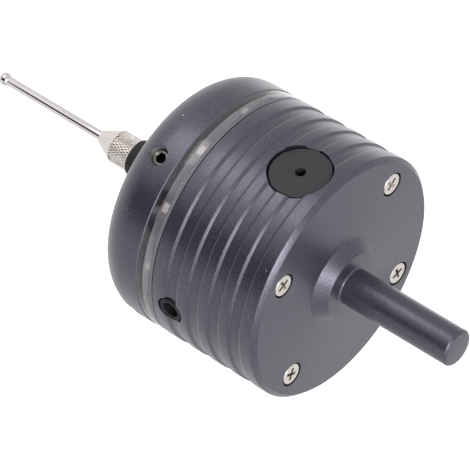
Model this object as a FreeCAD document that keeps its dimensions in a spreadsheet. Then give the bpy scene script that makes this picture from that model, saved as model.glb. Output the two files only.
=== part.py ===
import FreeCAD, Part
import math
import os

import Sketcher

# Three-dimensional edge finder for a milling spindle: a ball stylus in a sprung seat, a ribbed housing
# with a shank, a clear ring lit by twelve light blocks, a buzzer and a socket in the side.
# Millimetres. The origin is on the axis at the shank's root, +Z points to the shank's end,
# +X to the buzzer and +Y to the socket.

os.makedirs("parts", exist_ok=True)
doc = FreeCAD.newDocument("edge_finder")
sheet = doc.addObject("Spreadsheet::Sheet", "Sizes")
Vector = FreeCAD.Vector


# Numbers that remember the sheet expression they come from
class Size:
    def __init__(self, value, text):
        self.value = value
        self.text = text

    def __add__(self, other):
        return Size(self.value + number(other), "(" + self.text + " + " + words(other) + ")")

    def __sub__(self, other):
        return Size(self.value - number(other), "(" + self.text + " - " + words(other) + ")")

    def __mul__(self, other):
        return Size(self.value * number(other), "(" + self.text + " * " + words(other) + ")")

    def __truediv__(self, other):
        return Size(self.value / number(other), "(" + self.text + " / " + words(other) + ")")

    def __neg__(self):
        return Size(-self.value, "(0 - " + self.text + ")")


def number(size):
    return size.value if isinstance(size, Size) else float(size)


def words(size):
    return size.text if isinstance(size, Size) else "(" + repr(float(size)) + ")"


def root(size):
    return Size(math.sqrt(size.value), "sqrt(" + size.text + ")")


def sine(angle):
    return Size(math.sin(math.radians(number(angle))), "sin(" + words(angle) + " * 1deg)")


def cosine(angle):
    return Size(math.cos(math.radians(number(angle))), "cos(" + words(angle) + " * 1deg)")


row = 0


def size(alias, value):
    global row
    row = row + 1
    sheet.set("A" + str(row), alias)
    sheet.set("B" + str(row), str(value))
    sheet.setAlias("B" + str(row), alias)
    return Size(value, "Sizes." + alias)


# Shank, hub and body
shank_radius = size("shank_radius", 4.0)
shank_length = size("shank_length", 27.0)
shank_chamfer = size("shank_chamfer", 0.4)
shank_foot = size("shank_foot_fillet", 0.5)
hub_height = size("hub_height", 2.6)
hub_top_radius = size("hub_top_radius", 7.4)
hub_base_radius = size("hub_base_radius", 9.6)
body_radius = size("body_radius", 27.0)
body_length = size("body_length", 26.85)
body_chamfer = size("body_chamfer", 1.0)
bore_wall = size("bore_wall_thickness", 8.5)
bore_radius = body_radius - bore_wall
rear_wall = size("rear_wall_thickness", 3.8)

# Grooves between the lands, counted from the rear
groove_count = 4
groove_first = size("groove_first_centre", 5.5)
groove_width = size("groove_width", 3.14)
front_land = size("front_land_width", 3.43)
groove_depth = size("groove_depth", 0.5)
groove_slope = size("groove_steep_wall_run", 0.12)
groove_span = body_length - groove_first - front_land - groove_width / 2
groove_pitch = groove_span / (groove_count - 1)

# Ring, board and cap stacked in front of the housing
stack_inset = size("ring_and_board_inset", 0.1)
stack_radius = body_radius - stack_inset
board_thickness = size("board_thickness", 0.8)
board_hole = size("board_centre_hole_radius", 5.2)
ring_thickness = size("ring_thickness", 3.2)
ring_width = size("ring_width", 7.4)
ring_inner = stack_radius - ring_width
cap_length = size("cap_length", 11.9)
cap_round = size("cap_front_round", 7.7)
cap_edge = size("cap_rear_edge_chamfer", 0.2)
cap_plate = size("cap_front_plate_thickness", 4.0)
cap_wall = size("cap_wall_thickness", 8.4)
cap_cavity = body_radius - cap_wall
cap_opening = size("cap_opening_radius", 8.0)
cap_mouth = size("cap_opening_chamfer", 0.6)

# Four countersunk clamp screws
clamp_inset = size("clamp_screws_from_side", 5.5)
clamp_circle = body_radius - clamp_inset
clamp_angle = size("clamp_angle_from_buzzer", 51.0)
clamp_radius = size("clamp_screw_radius", 1.25)
clamp_hole = size("clamp_hole_radius", 1.45)
clamp_thread = size("clamp_thread_hole_radius", 1.28)
clamp_head = size("clamp_head_radius", 2.35)
clamp_rim = size("clamp_head_rim", 0.25)
clamp_mouth = size("clamp_countersink_radius", 2.7)
clamp_grip = size("clamp_thread_in_cap", 5.0)

# Four set screws that centre the seat
centring_angle = size("set_screw_angle", 27.0)
centring_height = size("set_screw_behind_cap_front", 6.9)
centring_radius = size("set_screw_radius", 2.0)
centring_hole = size("set_screw_hole_radius", 2.1)
centring_recess = size("set_screw_recess", 1.9)
centring_key = size("set_screw_key_width", 2.0)
centring_key_depth = size("set_screw_key_depth", 2.2)
centring_bevel = size("set_screw_end_bevel", 0.3)

# Twelve light blocks in a round channel of the ring
light_count = 12
light_angle = size("light_first_angle", 15.0)
light_inset = size("light_blocks_from_side", 2.5)
light_circle = body_radius - light_inset
light_width = size("light_block_width", 2.0)
light_height = size("light_block_height", 1.9)
light_bevel = size("light_block_bevel", 0.15)
channel_depth = size("light_channel_depth", 2.1)
channel_room_outside = size("light_channel_room_outside", 0.3)
channel_room_inside = size("light_channel_room_inside", 0.15)
channel_outer = light_circle + light_width / 2 + channel_room_outside
channel_inner = light_circle - light_width / 2 - channel_room_inside

# Buzzer and its leads
buzzer_place = size("buzzer_behind_rear_face", 8.9)
buzzer_radius = size("buzzer_radius", 6.45)
buzzer_pocket = size("buzzer_pocket_radius", 6.75)
buzzer_recess = size("buzzer_face_recess", 0.9)
buzzer_face = body_radius - buzzer_recess
buzzer_depth = size("buzzer_depth", 9.5)
buzzer_hole = size("buzzer_sound_hole_radius", 1.1)
buzzer_hole_depth = size("buzzer_sound_hole_depth", 1.2)
buzzer_bevel = size("buzzer_edge_bevel", 0.25)
lead_radius = size("lead_radius", 0.3)
lead_spacing = size("lead_spacing", 5.0)
lead_reach = size("lead_reach", 2.4)
lead_bend = size("lead_bend_radius", 1.0)
lead_hole = size("lead_hole_radius", 0.42)
solder_length = size("pin_length_past_board", 0.7)

# Socket
socket_rise = size("socket_axis_behind_board", 4.7)
socket_pocket = size("socket_pocket_radius", 3.05)
socket_nose = size("socket_nose_radius", 2.8)
socket_recess = size("socket_nose_recess", 0.15)
socket_nose_end = body_radius - socket_recess
socket_nose_length = size("socket_nose_length", 4.65)
socket_block_end = socket_nose_end - socket_nose_length
socket_block_length = size("socket_block_length", 11.9)
socket_block_width = size("socket_block_width", 6.0)
socket_block_top = size("socket_block_above_axis", 2.95)
socket_bore = size("socket_bore_radius", 1.8)
socket_bore_depth = size("socket_bore_depth", 14.0)
socket_lip = size("socket_mouth_chamfer", 0.3)
socket_gap = size("socket_block_clearance", 0.3)
pin_radius = size("socket_pin_radius", 0.35)
pin_inset = size("socket_pin_inset", 3.5)
pin_spacing = size("socket_pin_spacing", 4.0)

# Ball seat, three arms and six balls
pivot_height = size("pivot_above_cap_plate", 3.95)
collar_radius = size("collar_sphere_radius", 5.5)
seat_gap = size("seat_clearance", 0.03)
seat_floor = size("seat_floor_below_pivot", 0.6)
seat_room = size("seat_ring_centring_room", 1.2)
seat_outer = cap_cavity - seat_room
seat_rim = size("seat_rim_width", 2.2)
seat_rim_inner = seat_outer - seat_rim
seat_rim_top = size("seat_rim_above_pivot", 2.2)
seat_relief = size("seat_relief_height", 0.8)
arm_count = 3
arm_radius = size("arm_radius", 1.0)
arm_end = size("arm_end_at", 13.0)
arm_root = size("arm_root_at", 3.2)
arm_bevel = size("arm_end_bevel", 0.3)
slot_half_width = size("arm_slot_half_width", 1.4)
slot_end = size("arm_slot_end_at", 13.6)
slot_floor = size("arm_slot_floor", 0.3)
contact_radius = size("contact_ball_radius", 1.25)
contact_circle = size("contact_ball_at", 10.5)
contact_gap = size("contact_ball_clearance", 0.08)
contact_hole = size("contact_ball_hole_radius", 1.27)

# Spindle, collet and stylus, measured from the pivot
shaft_radius = size("spindle_shaft_radius", 2.6)
shaft_length = size("spindle_shaft_length", 19.7)
collar_top = size("collar_top_above_pivot", 2.0)
funnel_radius = size("funnel_mouth_radius", 2.5)
thrust_radius = size("thrust_ball_radius", 1.5)
nose_radius = size("spindle_nose_radius", 2.0)
nose_length = size("spindle_nose_length", 3.8)
collet_bore = size("collet_bore_radius", 1.53)
collet_bore_depth = size("collet_bore_depth", 8.0)
collet_radius = size("collet_tail_radius", 1.5)
collet_gap = size("collet_cone_clearance", 0.035)
collet_slot = size("collet_slot_width", 0.3)
stem_radius = size("stem_radius", 0.98)
stem_gap = size("stem_clearance", 0.02)
stem_depth = size("stem_depth_in_collet", 7.0)
nut_gap = size("nut_thread_clearance", 0.05)
nut_radius = size("nut_radius", 3.6)
nut_bevel = size("nut_rear_bevel", 0.25)
nut_grip = size("nut_knurled_length", 4.85)
nut_length = size("nut_length", 9.4)
nut_tip = size("nut_tip_radius", 1.5)
nut_tip_bore = size("nut_tip_bore_radius", 1.12)
nut_thread_depth = size("nut_thread_depth", 4.25)
nut_cone_end = size("nut_inner_cone_end", 8.45)
stylus_reach = size("ball_centre_below_pivot", 56.15)
ball_radius = size("stylus_ball_radius", 1.38)

# Rubber boot
boot_radius = size("boot_neck_radius", 4.0)
boot_neck = size("boot_neck_length", 3.1)
boot_inner = size("boot_neck_inner_radius", 2.62)
boot_folds = 3
boot_pitch = size("boot_fold_pitch", 2.3)
boot_swell = size("boot_fold_height", 1.2)
boot_growth = size("boot_growth_per_fold", 0.3)
boot_wall = size("boot_wall", 0.7)
boot_lip = size("boot_lip_length", 0.8)
boot_flare = size("boot_lip_flare", 0.8)
boot_gap = size("boot_to_nut_gap", 0.1)

# Spring, plunger and guide
plunger_tip = size("plunger_tip_radius", 0.9)
plunger_flange_at = size("plunger_flange_above_pivot", 3.5)
plunger_flange = size("plunger_flange_radius", 3.3)
plunger_flange_thickness = size("plunger_flange_thickness", 1.2)
plunger_rod = size("plunger_rod_radius", 1.2)
plunger_rod_end = size("plunger_rod_end_below_rear_wall", 6.3)
guide_stub = size("guide_stub_radius", 3.0)
guide_stub_gap = size("guide_stub_clearance", 0.02)
guide_stub_length = size("guide_stub_length", 2.8)
guide_flange = size("guide_flange_radius", 5.5)
guide_flange_thickness = size("guide_flange_thickness", 2.0)
guide_sleeve = size("guide_sleeve_radius", 2.0)
guide_sleeve_length = size("guide_sleeve_length", 11.6)
guide_bore = size("guide_bore_radius", 1.25)
coil_radius = size("spring_mean_radius", 2.65)
wire_radius = size("spring_wire_radius", 0.3)
coil_turns = size("spring_turns", 9)

# Parts on the rear side of the board
chip_length = size("chip_length", 5.0)
chip_width = size("chip_width", 4.0)
chip_height = size("chip_height", 1.5)
resistor_length = size("resistor_length", 2.0)
resistor_width = size("resistor_width", 1.25)
resistor_height = size("resistor_height", 0.55)
resistor_circle = size("resistor_circle_radius", 12.0)

# Heights along the axis that follow from the sizes above
rear_face = -hub_height
wall_face = rear_face - rear_wall
front_edge = rear_face - body_length
board_front = front_edge - board_thickness
cap_rear = board_front - ring_thickness
cap_front = cap_rear - cap_length
plate_face = cap_front + cap_plate
pivot = plate_face + pivot_height
buzzer_height = rear_face - buzzer_place
socket_height = front_edge + socket_rise
shoulder = pivot - shaft_length
nose_end = shoulder - nose_length
nut_rear = shoulder - 0.05
ball_height = pivot - stylus_reach

doc.recompute()


# Helpers for bodies, sketches and bound sizes
def bind(thing, prop, value):
    if isinstance(value, Size):
        thing.setExpression(prop, value.text)


def new_body(label):
    body = doc.addObject("PartDesign::Body", label)
    body.Label = label
    return body


def origin_plane(body, role):
    for feature in body.Origin.OriginFeatures:
        if feature.Role == role:
            return feature
    return None


def new_sketch(body, name, role, lift=0.0):
    sketch = body.newObject("Sketcher::SketchObject", name)
    sketch.AttachmentSupport = (origin_plane(body, role), [""])
    sketch.MapMode = "FlatFace"
    sketch.AttachmentOffset = FreeCAD.Placement(Vector(0, 0, number(lift)), FreeCAD.Rotation())
    bind(sketch, "AttachmentOffset.Base.z", lift)
    return sketch


def fix_point(sketch, piece, end, x, y):
    for kind, axis, value in (("DistanceX", -2, x), ("DistanceY", -1, y)):
        if not isinstance(value, Size) and float(value) == 0.0:
            sketch.addConstraint(Sketcher.Constraint("PointOnObject", piece, end, axis))
            continue
        place = sketch.addConstraint(Sketcher.Constraint(kind, -1, 1, piece, end, number(value)))
        bind(sketch, "Constraints[" + str(place) + "]", value)


def add_outline(sketch, corners, closed=True):
    """Lines through the corners (x, y). A corner (x, y, centre x, centre y, radius) starts an arc."""
    ends = []
    count = len(corners)
    for i in range(count if closed else count - 1):
        corner = corners[i]
        after = corners[(i + 1) % count]
        start = Vector(number(corner[0]), number(corner[1]), 0)
        end = Vector(number(after[0]), number(after[1]), 0)
        if len(corner) == 2:
            piece = sketch.addGeometry(Part.LineSegment(start, end), False)
            ends.append((piece, 1, 2))
            continue
        centre = Vector(number(corner[2]), number(corner[3]), 0)
        first = math.atan2(start.y - centre.y, start.x - centre.x)
        last = math.atan2(end.y - centre.y, end.x - centre.x)
        forward = (last - first) % (2 * math.pi) < math.pi
        low, high = (first, last) if forward else (last, first)
        circle = Part.Circle(centre, Vector(0, 0, 1), number(corner[4]))
        high = low + (high - low) % (2 * math.pi)
        piece = sketch.addGeometry(Part.ArcOfCircle(circle, low, high), False)
        ends.append((piece, 1, 2) if forward else (piece, 2, 1))
        place = sketch.addConstraint(Sketcher.Constraint("Radius", piece, number(corner[4])))
        bind(sketch, "Constraints[" + str(place) + "]", corner[4])
    for i in range(len(ends) if closed else len(ends) - 1):
        here = ends[i]
        there = ends[(i + 1) % len(ends)]
        sketch.addConstraint(Sketcher.Constraint("Coincident", here[0], here[2], there[0], there[1]))
    for i in range(len(ends)):
        fix_point(sketch, ends[i][0], ends[i][1], corners[i][0], corners[i][1])
    if not closed:
        fix_point(sketch, ends[-1][0], ends[-1][2], corners[-1][0], corners[-1][1])


def add_circle(sketch, x, y, radius):
    circle = Part.Circle(Vector(number(x), number(y), 0), Vector(0, 0, 1), number(radius))
    piece = sketch.addGeometry(circle, False)
    place = sketch.addConstraint(Sketcher.Constraint("Radius", piece, number(radius)))
    bind(sketch, "Constraints[" + str(place) + "]", radius)
    fix_point(sketch, piece, 3, x, y)


def box_corners(x_low, x_high, y_low, y_high):
    return [(x_low, y_low), (x_high, y_low), (x_high, y_high), (x_low, y_high)]


def turn(body, name, corners, axis="V_Axis"):
    sketch = new_sketch(body, name + "_profile", "XZ_Plane")
    add_outline(sketch, corners)
    feature = body.newObject("PartDesign::Revolution", name)
    feature.Profile = sketch
    feature.ReferenceAxis = (sketch, [axis])
    feature.Angle = 360
    body.Tip = feature
    return feature


def pad(body, name, sketch, length):
    feature = body.newObject("PartDesign::Pad", name)
    feature.Profile = sketch
    bind(feature, "Length", length)
    body.Tip = feature
    return feature


def cut(body, name, sketch, length, along_normal=False):
    """A pocket cuts against the sketch's normal, or along it."""
    doc.recompute()
    before = body.Shape.Volume
    feature = body.newObject("PartDesign::Pocket", name)
    feature.Profile = sketch
    feature.Length = number(length)
    bind(feature, "Length", length)
    feature.Reversed = along_normal
    body.Tip = feature
    doc.recompute()
    if not body.Shape.Volume < before - 0.001:
        raise RuntimeError(name + " cuts nothing")
    return feature


def around_axis(body, name, features, count):
    feature = body.newObject("PartDesign::PolarPattern", name)
    feature.Originals = features
    feature.Axis = (origin_plane(body, "Z_Axis"), [""])
    feature.Angle = 360
    feature.Occurrences = count
    body.Tip = feature
    return feature


def round_edges(body, radius, height):
    """Names of the circular edges with this radius at this height."""
    doc.recompute()
    found = []
    for i, edge in enumerate(body.Shape.Edges):
        if not isinstance(edge.Curve, Part.Circle):
            continue
        same_radius = abs(edge.Curve.Radius - number(radius)) < 0.001
        if same_radius and abs(edge.Curve.Center.z - number(height)) < 0.001:
            found.append("Edge" + str(i + 1))
    return found


def bevel(body, name, edges, length):
    base = body.Tip
    feature = body.newObject("PartDesign::Chamfer", name)
    feature.Base = (base, edges)
    feature.Size = number(length)
    bind(feature, "Size", length)
    body.Tip = feature
    return feature


def place(thing, x=0.0, y=0.0, z=0.0, angle=0.0):
    turned = FreeCAD.Rotation(Vector(0, 0, 1), number(angle))
    thing.Placement = FreeCAD.Placement(Vector(number(x), number(y), number(z)), turned)
    bind(thing, "Placement.Base.x", x)
    bind(thing, "Placement.Base.y", y)
    bind(thing, "Placement.Base.z", z)
    bind(thing, "Placement.Rotation.Angle", angle)


def copies(label, source, places):
    """One group of separate solids: copies of one piece at places (x, y, z, angle)."""
    members = []
    for i, spot in enumerate(places):
        link = doc.addObject("App::Link", label + "_" + str(i + 1))
        link.LinkedObject = source
        place(link, spot[0], spot[1], spot[2], spot[3])
        members.append(link)
    return gather(label, members)


def gather(label, members):
    group = doc.addObject("Part::Compound", label)
    group.Label = label
    group.Links = members
    return group


def on_circle(radius, angle, height):
    return (radius * cosine(angle), radius * sine(angle), height, angle)


def clamp_places(turned_by=0.0):
    """The four clamp screws stand left and right of the buzzer and of the opposite side."""
    angles = [clamp_angle, -clamp_angle + 180, clamp_angle - 180, -clamp_angle]
    return [angle - turned_by for angle in angles]


def cut_clamp_holes(body, top, radius, length, turned_by=0.0):
    sketch = new_sketch(body, "clamp_hole_circles", "XY_Plane", top)
    for angle in clamp_places(turned_by):
        add_circle(sketch, clamp_circle * cosine(angle), clamp_circle * sine(angle), radius)
    return cut(body, "clamp_holes", sketch, length)


# Housing: one turned piece with shank, hub, grooved body and rear wall
def make_housing():
    body = new_body("housing")
    corners = [(0.0, shank_length), (shank_radius - shank_chamfer, shank_length)]
    corners.append((shank_radius, shank_length - shank_chamfer))
    corners.append((shank_radius, shank_foot, shank_radius + shank_foot, shank_foot, shank_foot))
    corners.append((shank_radius + shank_foot, 0.0))
    corners.append((hub_top_radius, 0.0))
    corners.append((hub_base_radius, rear_face))
    corners.append((body_radius - body_chamfer, rear_face))
    corners.append((body_radius, rear_face - body_chamfer))
    for i in range(groove_count):
        middle = rear_face - groove_first - groove_pitch * i
        rear_side = middle + groove_width / 2
        front_side = middle - groove_width / 2
        corners.append((body_radius, rear_side))
        corners.append((body_radius - groove_depth, rear_side - groove_slope))
        corners.append((body_radius - groove_depth, front_side + groove_depth))
        corners.append((body_radius, front_side))
    corners.append((body_radius, front_edge))
    corners.append((bore_radius, front_edge))
    corners.append((bore_radius, wall_face))
    corners.append((guide_stub + guide_stub_gap, wall_face))
    corners.append((guide_stub + guide_stub_gap, wall_face + guide_stub_length))
    corners.append((0.0, wall_face + guide_stub_length))
    turn(body, "housing_turned", corners)
    cut_clamp_holes(body, rear_face + 1, clamp_hole, body_length + 2)
    bevel(body, "countersinks", round_edges(body, clamp_hole, rear_face), clamp_mouth - clamp_hole)
    outside = body_radius + 1
    circle = new_sketch(body, "buzzer_pocket_circle", "YZ_Plane", outside)
    add_circle(circle, 0.0, buzzer_height, buzzer_pocket)
    cut(body, "buzzer_pocket", circle, outside - buzzer_face + buzzer_depth)
    circle = new_sketch(body, "socket_pocket_circle", "XZ_Plane", -outside)
    add_circle(circle, 0.0, socket_height, socket_pocket)
    cut(body, "socket_pocket", circle, outside - socket_block_end, True)
    half = socket_block_width / 2 + socket_gap
    slot = new_sketch(body, "socket_slot_outline", "XY_Plane", front_edge - 1)
    far = socket_block_end - socket_block_length - 1
    add_outline(slot, box_corners(-half, half, far, socket_block_end + socket_gap))
    slot_depth = socket_height + socket_block_top + socket_gap - front_edge + 1
    cut(body, "socket_slot", slot, slot_depth, True)
    return body


# Front cap: domed, hollow from behind, open in front for the stylus
def make_front_cap():
    body = new_body("front_cap")
    round_centre = (body_radius - cap_round, cap_front + cap_round)
    corners = [(cap_cavity, cap_rear), (body_radius - cap_edge, cap_rear)]
    corners.append((body_radius, cap_rear - cap_edge))
    corners.append((body_radius, round_centre[1], round_centre[0], round_centre[1], cap_round))
    corners.append((round_centre[0], cap_front))
    corners.append((cap_opening + cap_mouth, cap_front))
    corners.append((cap_opening, cap_front + cap_mouth))
    corners.append((cap_opening, plate_face))
    corners.append((cap_cavity, plate_face))
    turn(body, "cap_turned", corners)
    cut_clamp_holes(body, cap_rear + 1, clamp_thread, clamp_grip + 1.3, centring_angle)
    outside = body_radius + 1
    circle = new_sketch(body, "set_screw_circle", "YZ_Plane", outside)
    add_circle(circle, 0.0, cap_front + centring_height, centring_hole)
    hole = cut(body, "set_screw_hole", circle, outside - cap_cavity + 1)
    around_axis(body, "set_screw_holes", [hole], 4)
    place(body, angle=centring_angle)
    return body


def make_set_screws():
    body = new_body("set_screw")
    length = body_radius - centring_recess - seat_outer
    corners = [(0.0, 0.0), (0.0, centring_radius - centring_bevel)]
    corners.append((-centring_bevel, centring_radius))
    corners.append((centring_bevel * 2 - length, centring_radius))
    corners.append((-length, centring_radius - centring_bevel * 2))
    corners.append((-length, 0.0))
    turn(body, "set_screw_turned", corners, "H_Axis")
    half = centring_key / 2
    point = centring_key / math.sqrt(3)
    key = new_sketch(body, "key_hexagon", "YZ_Plane", 0.0)
    hexagon = [(half, point / 2), (0.0, point), (-half, point / 2)]
    hexagon = hexagon + [(-half, -point / 2), (0.0, -point), (half, -point / 2)]
    add_outline(key, hexagon)
    cut(body, "key_socket", key, centring_key_depth)
    height = cap_front + centring_height
    angles = [centring_angle + 90 * i for i in range(4)]
    spots = [on_circle(body_radius - centring_recess, angle, height) for angle in angles]
    return copies("cap_set_screws", body, spots)


# Clear ring with a round channel for the light blocks in its rear face
def make_light_ring():
    body = new_body("light_ring")
    channel_floor = board_front - channel_depth
    corners = [(ring_inner, cap_rear), (stack_radius, cap_rear), (stack_radius, board_front)]
    corners += [(channel_outer, board_front), (channel_outer, channel_floor)]
    corners += [(channel_inner, channel_floor), (channel_inner, board_front)]
    corners.append((ring_inner, board_front))
    turn(body, "ring_turned", corners)
    cut_clamp_holes(body, board_front + 1, clamp_hole, ring_thickness + 2)
    return body


def make_led_board():
    body = new_body("led_board")
    turn(body, "board_disc", box_corners(board_hole, stack_radius, board_front, front_edge))
    cut_clamp_holes(body, front_edge + 1, clamp_hole, board_thickness + 2)
    holes = new_sketch(body, "solder_hole_circles", "XY_Plane", front_edge + 1)
    for x, y in lead_feet() + pin_feet():
        add_circle(holes, x, y, lead_hole)
    cut(body, "solder_holes", holes, board_thickness + 2)
    return body


def lead_feet():
    x = buzzer_face - buzzer_depth - lead_reach
    return [(x, lead_spacing / 2), (x, -lead_spacing / 2)]


def pin_feet():
    outer = socket_block_end - pin_inset
    inner = socket_block_end - socket_block_length + pin_inset
    across = pin_spacing / 2
    return [(across, outer), (-across, outer), (across, inner), (-across, inner)]


def make_leds():
    body = new_body("light_block")
    half = light_width / 2
    square = new_sketch(body, "block_square", "XY_Plane", -light_height)
    add_outline(square, box_corners(-half, half, -half, half))
    pad(body, "block_pad", square, light_height)
    doc.recompute()
    low = number(-light_height) + 0.001
    edges = []
    for i, edge in enumerate(body.Shape.Edges):
        if edge.BoundBox.ZMax < low:
            edges.append("Edge" + str(i + 1))
    bevel(body, "block_bevel", edges, light_bevel)
    angles = [light_angle + 360.0 / light_count * i for i in range(light_count)]
    return copies("leds", body, [on_circle(light_circle, angle, board_front) for angle in angles])


def make_clamp_screws():
    body = new_body("clamp_screw")
    cone = clamp_head - clamp_radius
    top = clamp_rim - (clamp_mouth - clamp_head)
    end = cap_rear - clamp_grip - rear_face
    corners = [(0.0, top), (clamp_head, top), (clamp_head, top - clamp_rim)]
    corners.append((clamp_radius, top - clamp_rim - cone))
    corners.append((clamp_radius, end))
    corners.append((0.0, end))
    turn(body, "clamp_screw_turned", corners)
    spots = [on_circle(clamp_circle, angle, rear_face) for angle in clamp_places()]
    return copies("clamp_screws", body, spots)


# Buzzer, drawn along +X through its own axis
def make_buzzer():
    body = new_body("buzzer")
    back = buzzer_face - buzzer_depth
    corners = [(back, 0.0), (back, buzzer_radius)]
    corners.append((buzzer_face - buzzer_bevel, buzzer_radius))
    corners.append((buzzer_face, buzzer_radius - buzzer_bevel))
    corners.append((buzzer_face, buzzer_hole))
    corners.append((buzzer_face - buzzer_hole_depth, buzzer_hole))
    corners.append((buzzer_face - buzzer_hole_depth, 0.0))
    turn(body, "buzzer_turned", corners, "H_Axis")
    place(body, z=buzzer_height)
    return body


def make_buzzer_leads():
    body = new_body("buzzer_lead")
    back = buzzer_face - buzzer_depth
    foot = back - lead_reach
    end = board_front - solder_length
    path = new_sketch(body, "lead_path", "XZ_Plane")
    corners = [(back, buzzer_height)]
    corners.append((foot + lead_bend, buzzer_height, foot + lead_bend, buzzer_height - lead_bend, lead_bend))
    corners.append((foot, buzzer_height - lead_bend))
    corners.append((foot, end))
    add_outline(path, corners, False)
    wire = new_sketch(body, "lead_section", "YZ_Plane", back)
    add_circle(wire, 0.0, buzzer_height, lead_radius)
    pipe = body.newObject("PartDesign::AdditivePipe", "lead_pipe")
    pipe.Profile = wire
    pipe.Spine = (path, ["Edge1", "Edge2", "Edge3"])
    body.Tip = pipe
    half = lead_spacing / 2
    return copies("buzzer_leads", body, [(0.0, half, 0.0, 0.0), (0.0, -half, 0.0, 0.0)])


# Socket, drawn along +X through its own axis and then turned to +Y
def make_jack_socket():
    body = new_body("jack_socket")
    half = socket_block_width / 2
    below = front_edge - socket_height
    inner = socket_block_end - socket_block_length
    block = new_sketch(body, "block_outline", "XY_Plane", below)
    add_outline(block, box_corners(inner, socket_block_end, -half, half))
    pad(body, "block", block, socket_block_top - below)
    nose = new_sketch(body, "nose_circle", "YZ_Plane", socket_block_end)
    add_circle(nose, 0.0, 0.0, socket_nose)
    pad(body, "nose", nose, socket_nose_end - socket_block_end)
    bore = new_sketch(body, "bore_circle", "YZ_Plane", socket_nose_end)
    add_circle(bore, 0.0, 0.0, socket_bore)
    cut(body, "bore", bore, socket_bore_depth)
    edges = []
    for i, edge in enumerate(body.Shape.Edges):
        if not isinstance(edge.Curve, Part.Circle):
            continue
        at_mouth = edge.Curve.Center.x > number(socket_nose_end) - 0.001
        if at_mouth and edge.Curve.Radius < number(socket_bore) + 0.001:
            edges.append("Edge" + str(i + 1))
    bevel(body, "mouth", edges, socket_lip)
    place(body, z=socket_height, angle=90.0)
    return body


def make_jack_pins():
    pin = doc.addObject("Part::Cylinder", "solder_pin")
    bind(pin, "Radius", pin_radius)
    length = board_thickness + solder_length
    bind(pin, "Height", length)
    spots = [(x, y, front_edge - length, 0.0) for x, y in pin_feet()]
    return copies("jack_pins", pin, spots)


def make_board_components():
    chip = doc.addObject("Part::Box", "driver_chip")
    bind(chip, "Length", chip_length)
    bind(chip, "Width", chip_width)
    bind(chip, "Height", chip_height)
    place(chip, -resistor_circle, -chip_width / 2, front_edge)
    resistor = doc.addObject("Part::Box", "resistor")
    bind(resistor, "Length", resistor_length)
    bind(resistor, "Width", resistor_width)
    bind(resistor, "Height", resistor_height)
    members = [chip]
    for i in range(4):
        link = doc.addObject("App::Link", "resistor_" + str(i + 1))
        link.LinkedObject = resistor
        spot = on_circle(resistor_circle, Size(225.0 + 24 * i, repr(225.0 + 24 * i)), front_edge)
        place(link, spot[0], spot[1], spot[2], 225.0 + 24 * i)
        members.append(link)
    return gather("board_components", members)


# Seat ring: spherical seat, three slots for the arms, six holes for the balls
def make_seat_ring():
    body = new_body("seat_ring")
    sphere = collar_radius + seat_gap
    seat_depth = pivot_height - seat_relief
    low = root(sphere * sphere - seat_depth * seat_depth)
    high = root(sphere * sphere - seat_floor * seat_floor)
    floor_top = pivot - seat_floor
    corners = [(low, plate_face), (seat_outer, plate_face)]
    corners.append((seat_outer, pivot + seat_rim_top))
    corners.append((seat_rim_inner, pivot + seat_rim_top))
    corners.append((seat_rim_inner, floor_top))
    corners.append((high, floor_top, 0.0, pivot, sphere))
    corners.append((low, plate_face + seat_relief))
    turn(body, "seat_turned", corners)
    slot = new_sketch(body, "arm_slot_outline", "XY_Plane", floor_top + 1)
    add_outline(slot, box_corners(collar_radius / 2, slot_end, -slot_half_width, slot_half_width))
    slot_cut = cut(body, "arm_slot", slot, floor_top + 1 - plate_face - slot_floor)
    around_axis(body, "arm_slots", [slot_cut], arm_count)
    offset = arm_radius + contact_radius + contact_gap
    holes = new_sketch(body, "ball_hole_circles", "XY_Plane", floor_top + 1)
    add_circle(holes, contact_circle, offset, contact_hole)
    add_circle(holes, contact_circle, -offset, contact_hole)
    ball_cut = cut(body, "ball_hole_pair", holes, contact_radius - seat_floor + 1)
    around_axis(body, "ball_holes", [ball_cut], arm_count)
    return body


def make_contact_balls():
    ball = doc.addObject("Part::Sphere", "contact_ball")
    bind(ball, "Radius", contact_radius)
    offset = arm_radius + contact_radius + contact_gap
    spots = []
    for i in range(arm_count):
        angle = Size(360.0 / arm_count * i, repr(360.0 / arm_count * i))
        for side in (offset, -offset):
            x = contact_circle * cosine(angle) - side * sine(angle)
            y = contact_circle * sine(angle) + side * cosine(angle)
            spots.append((x, y, pivot, 0.0))
    return copies("contact_balls", ball, spots)


# Spindle: spherical collar, shaft, threaded nose and collet bore
def make_spindle():
    body = new_body("spindle")
    dimple = thrust_radius + seat_gap
    top = pivot + collar_top
    collar_edge = root(collar_radius * collar_radius - collar_top * collar_top)
    collar_foot = pivot - root(collar_radius * collar_radius - shaft_radius * shaft_radius)
    corners = [(0.0, pivot - dimple, 0.0, pivot, dimple), (dimple, pivot)]
    corners.append((funnel_radius, top))
    corners.append((collar_edge, top, 0.0, pivot, collar_radius))
    corners.append((shaft_radius, collar_foot))
    corners.append((shaft_radius, shoulder))
    corners.append((nose_radius, shoulder))
    corners.append((nose_radius, nose_end))
    corners.append((collet_bore, nose_end))
    corners.append((collet_bore, nose_end + collet_bore_depth))
    corners.append((0.0, nose_end + collet_bore_depth))
    turn(body, "spindle_turned", corners)
    circle = new_sketch(body, "arm_hole_circle", "YZ_Plane", collar_radius + 1)
    add_circle(circle, 0.0, pivot, arm_radius)
    hole = cut(body, "arm_hole", circle, collar_radius + 1 - arm_root)
    around_axis(body, "arm_holes", [hole], arm_count)
    return body


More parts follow.
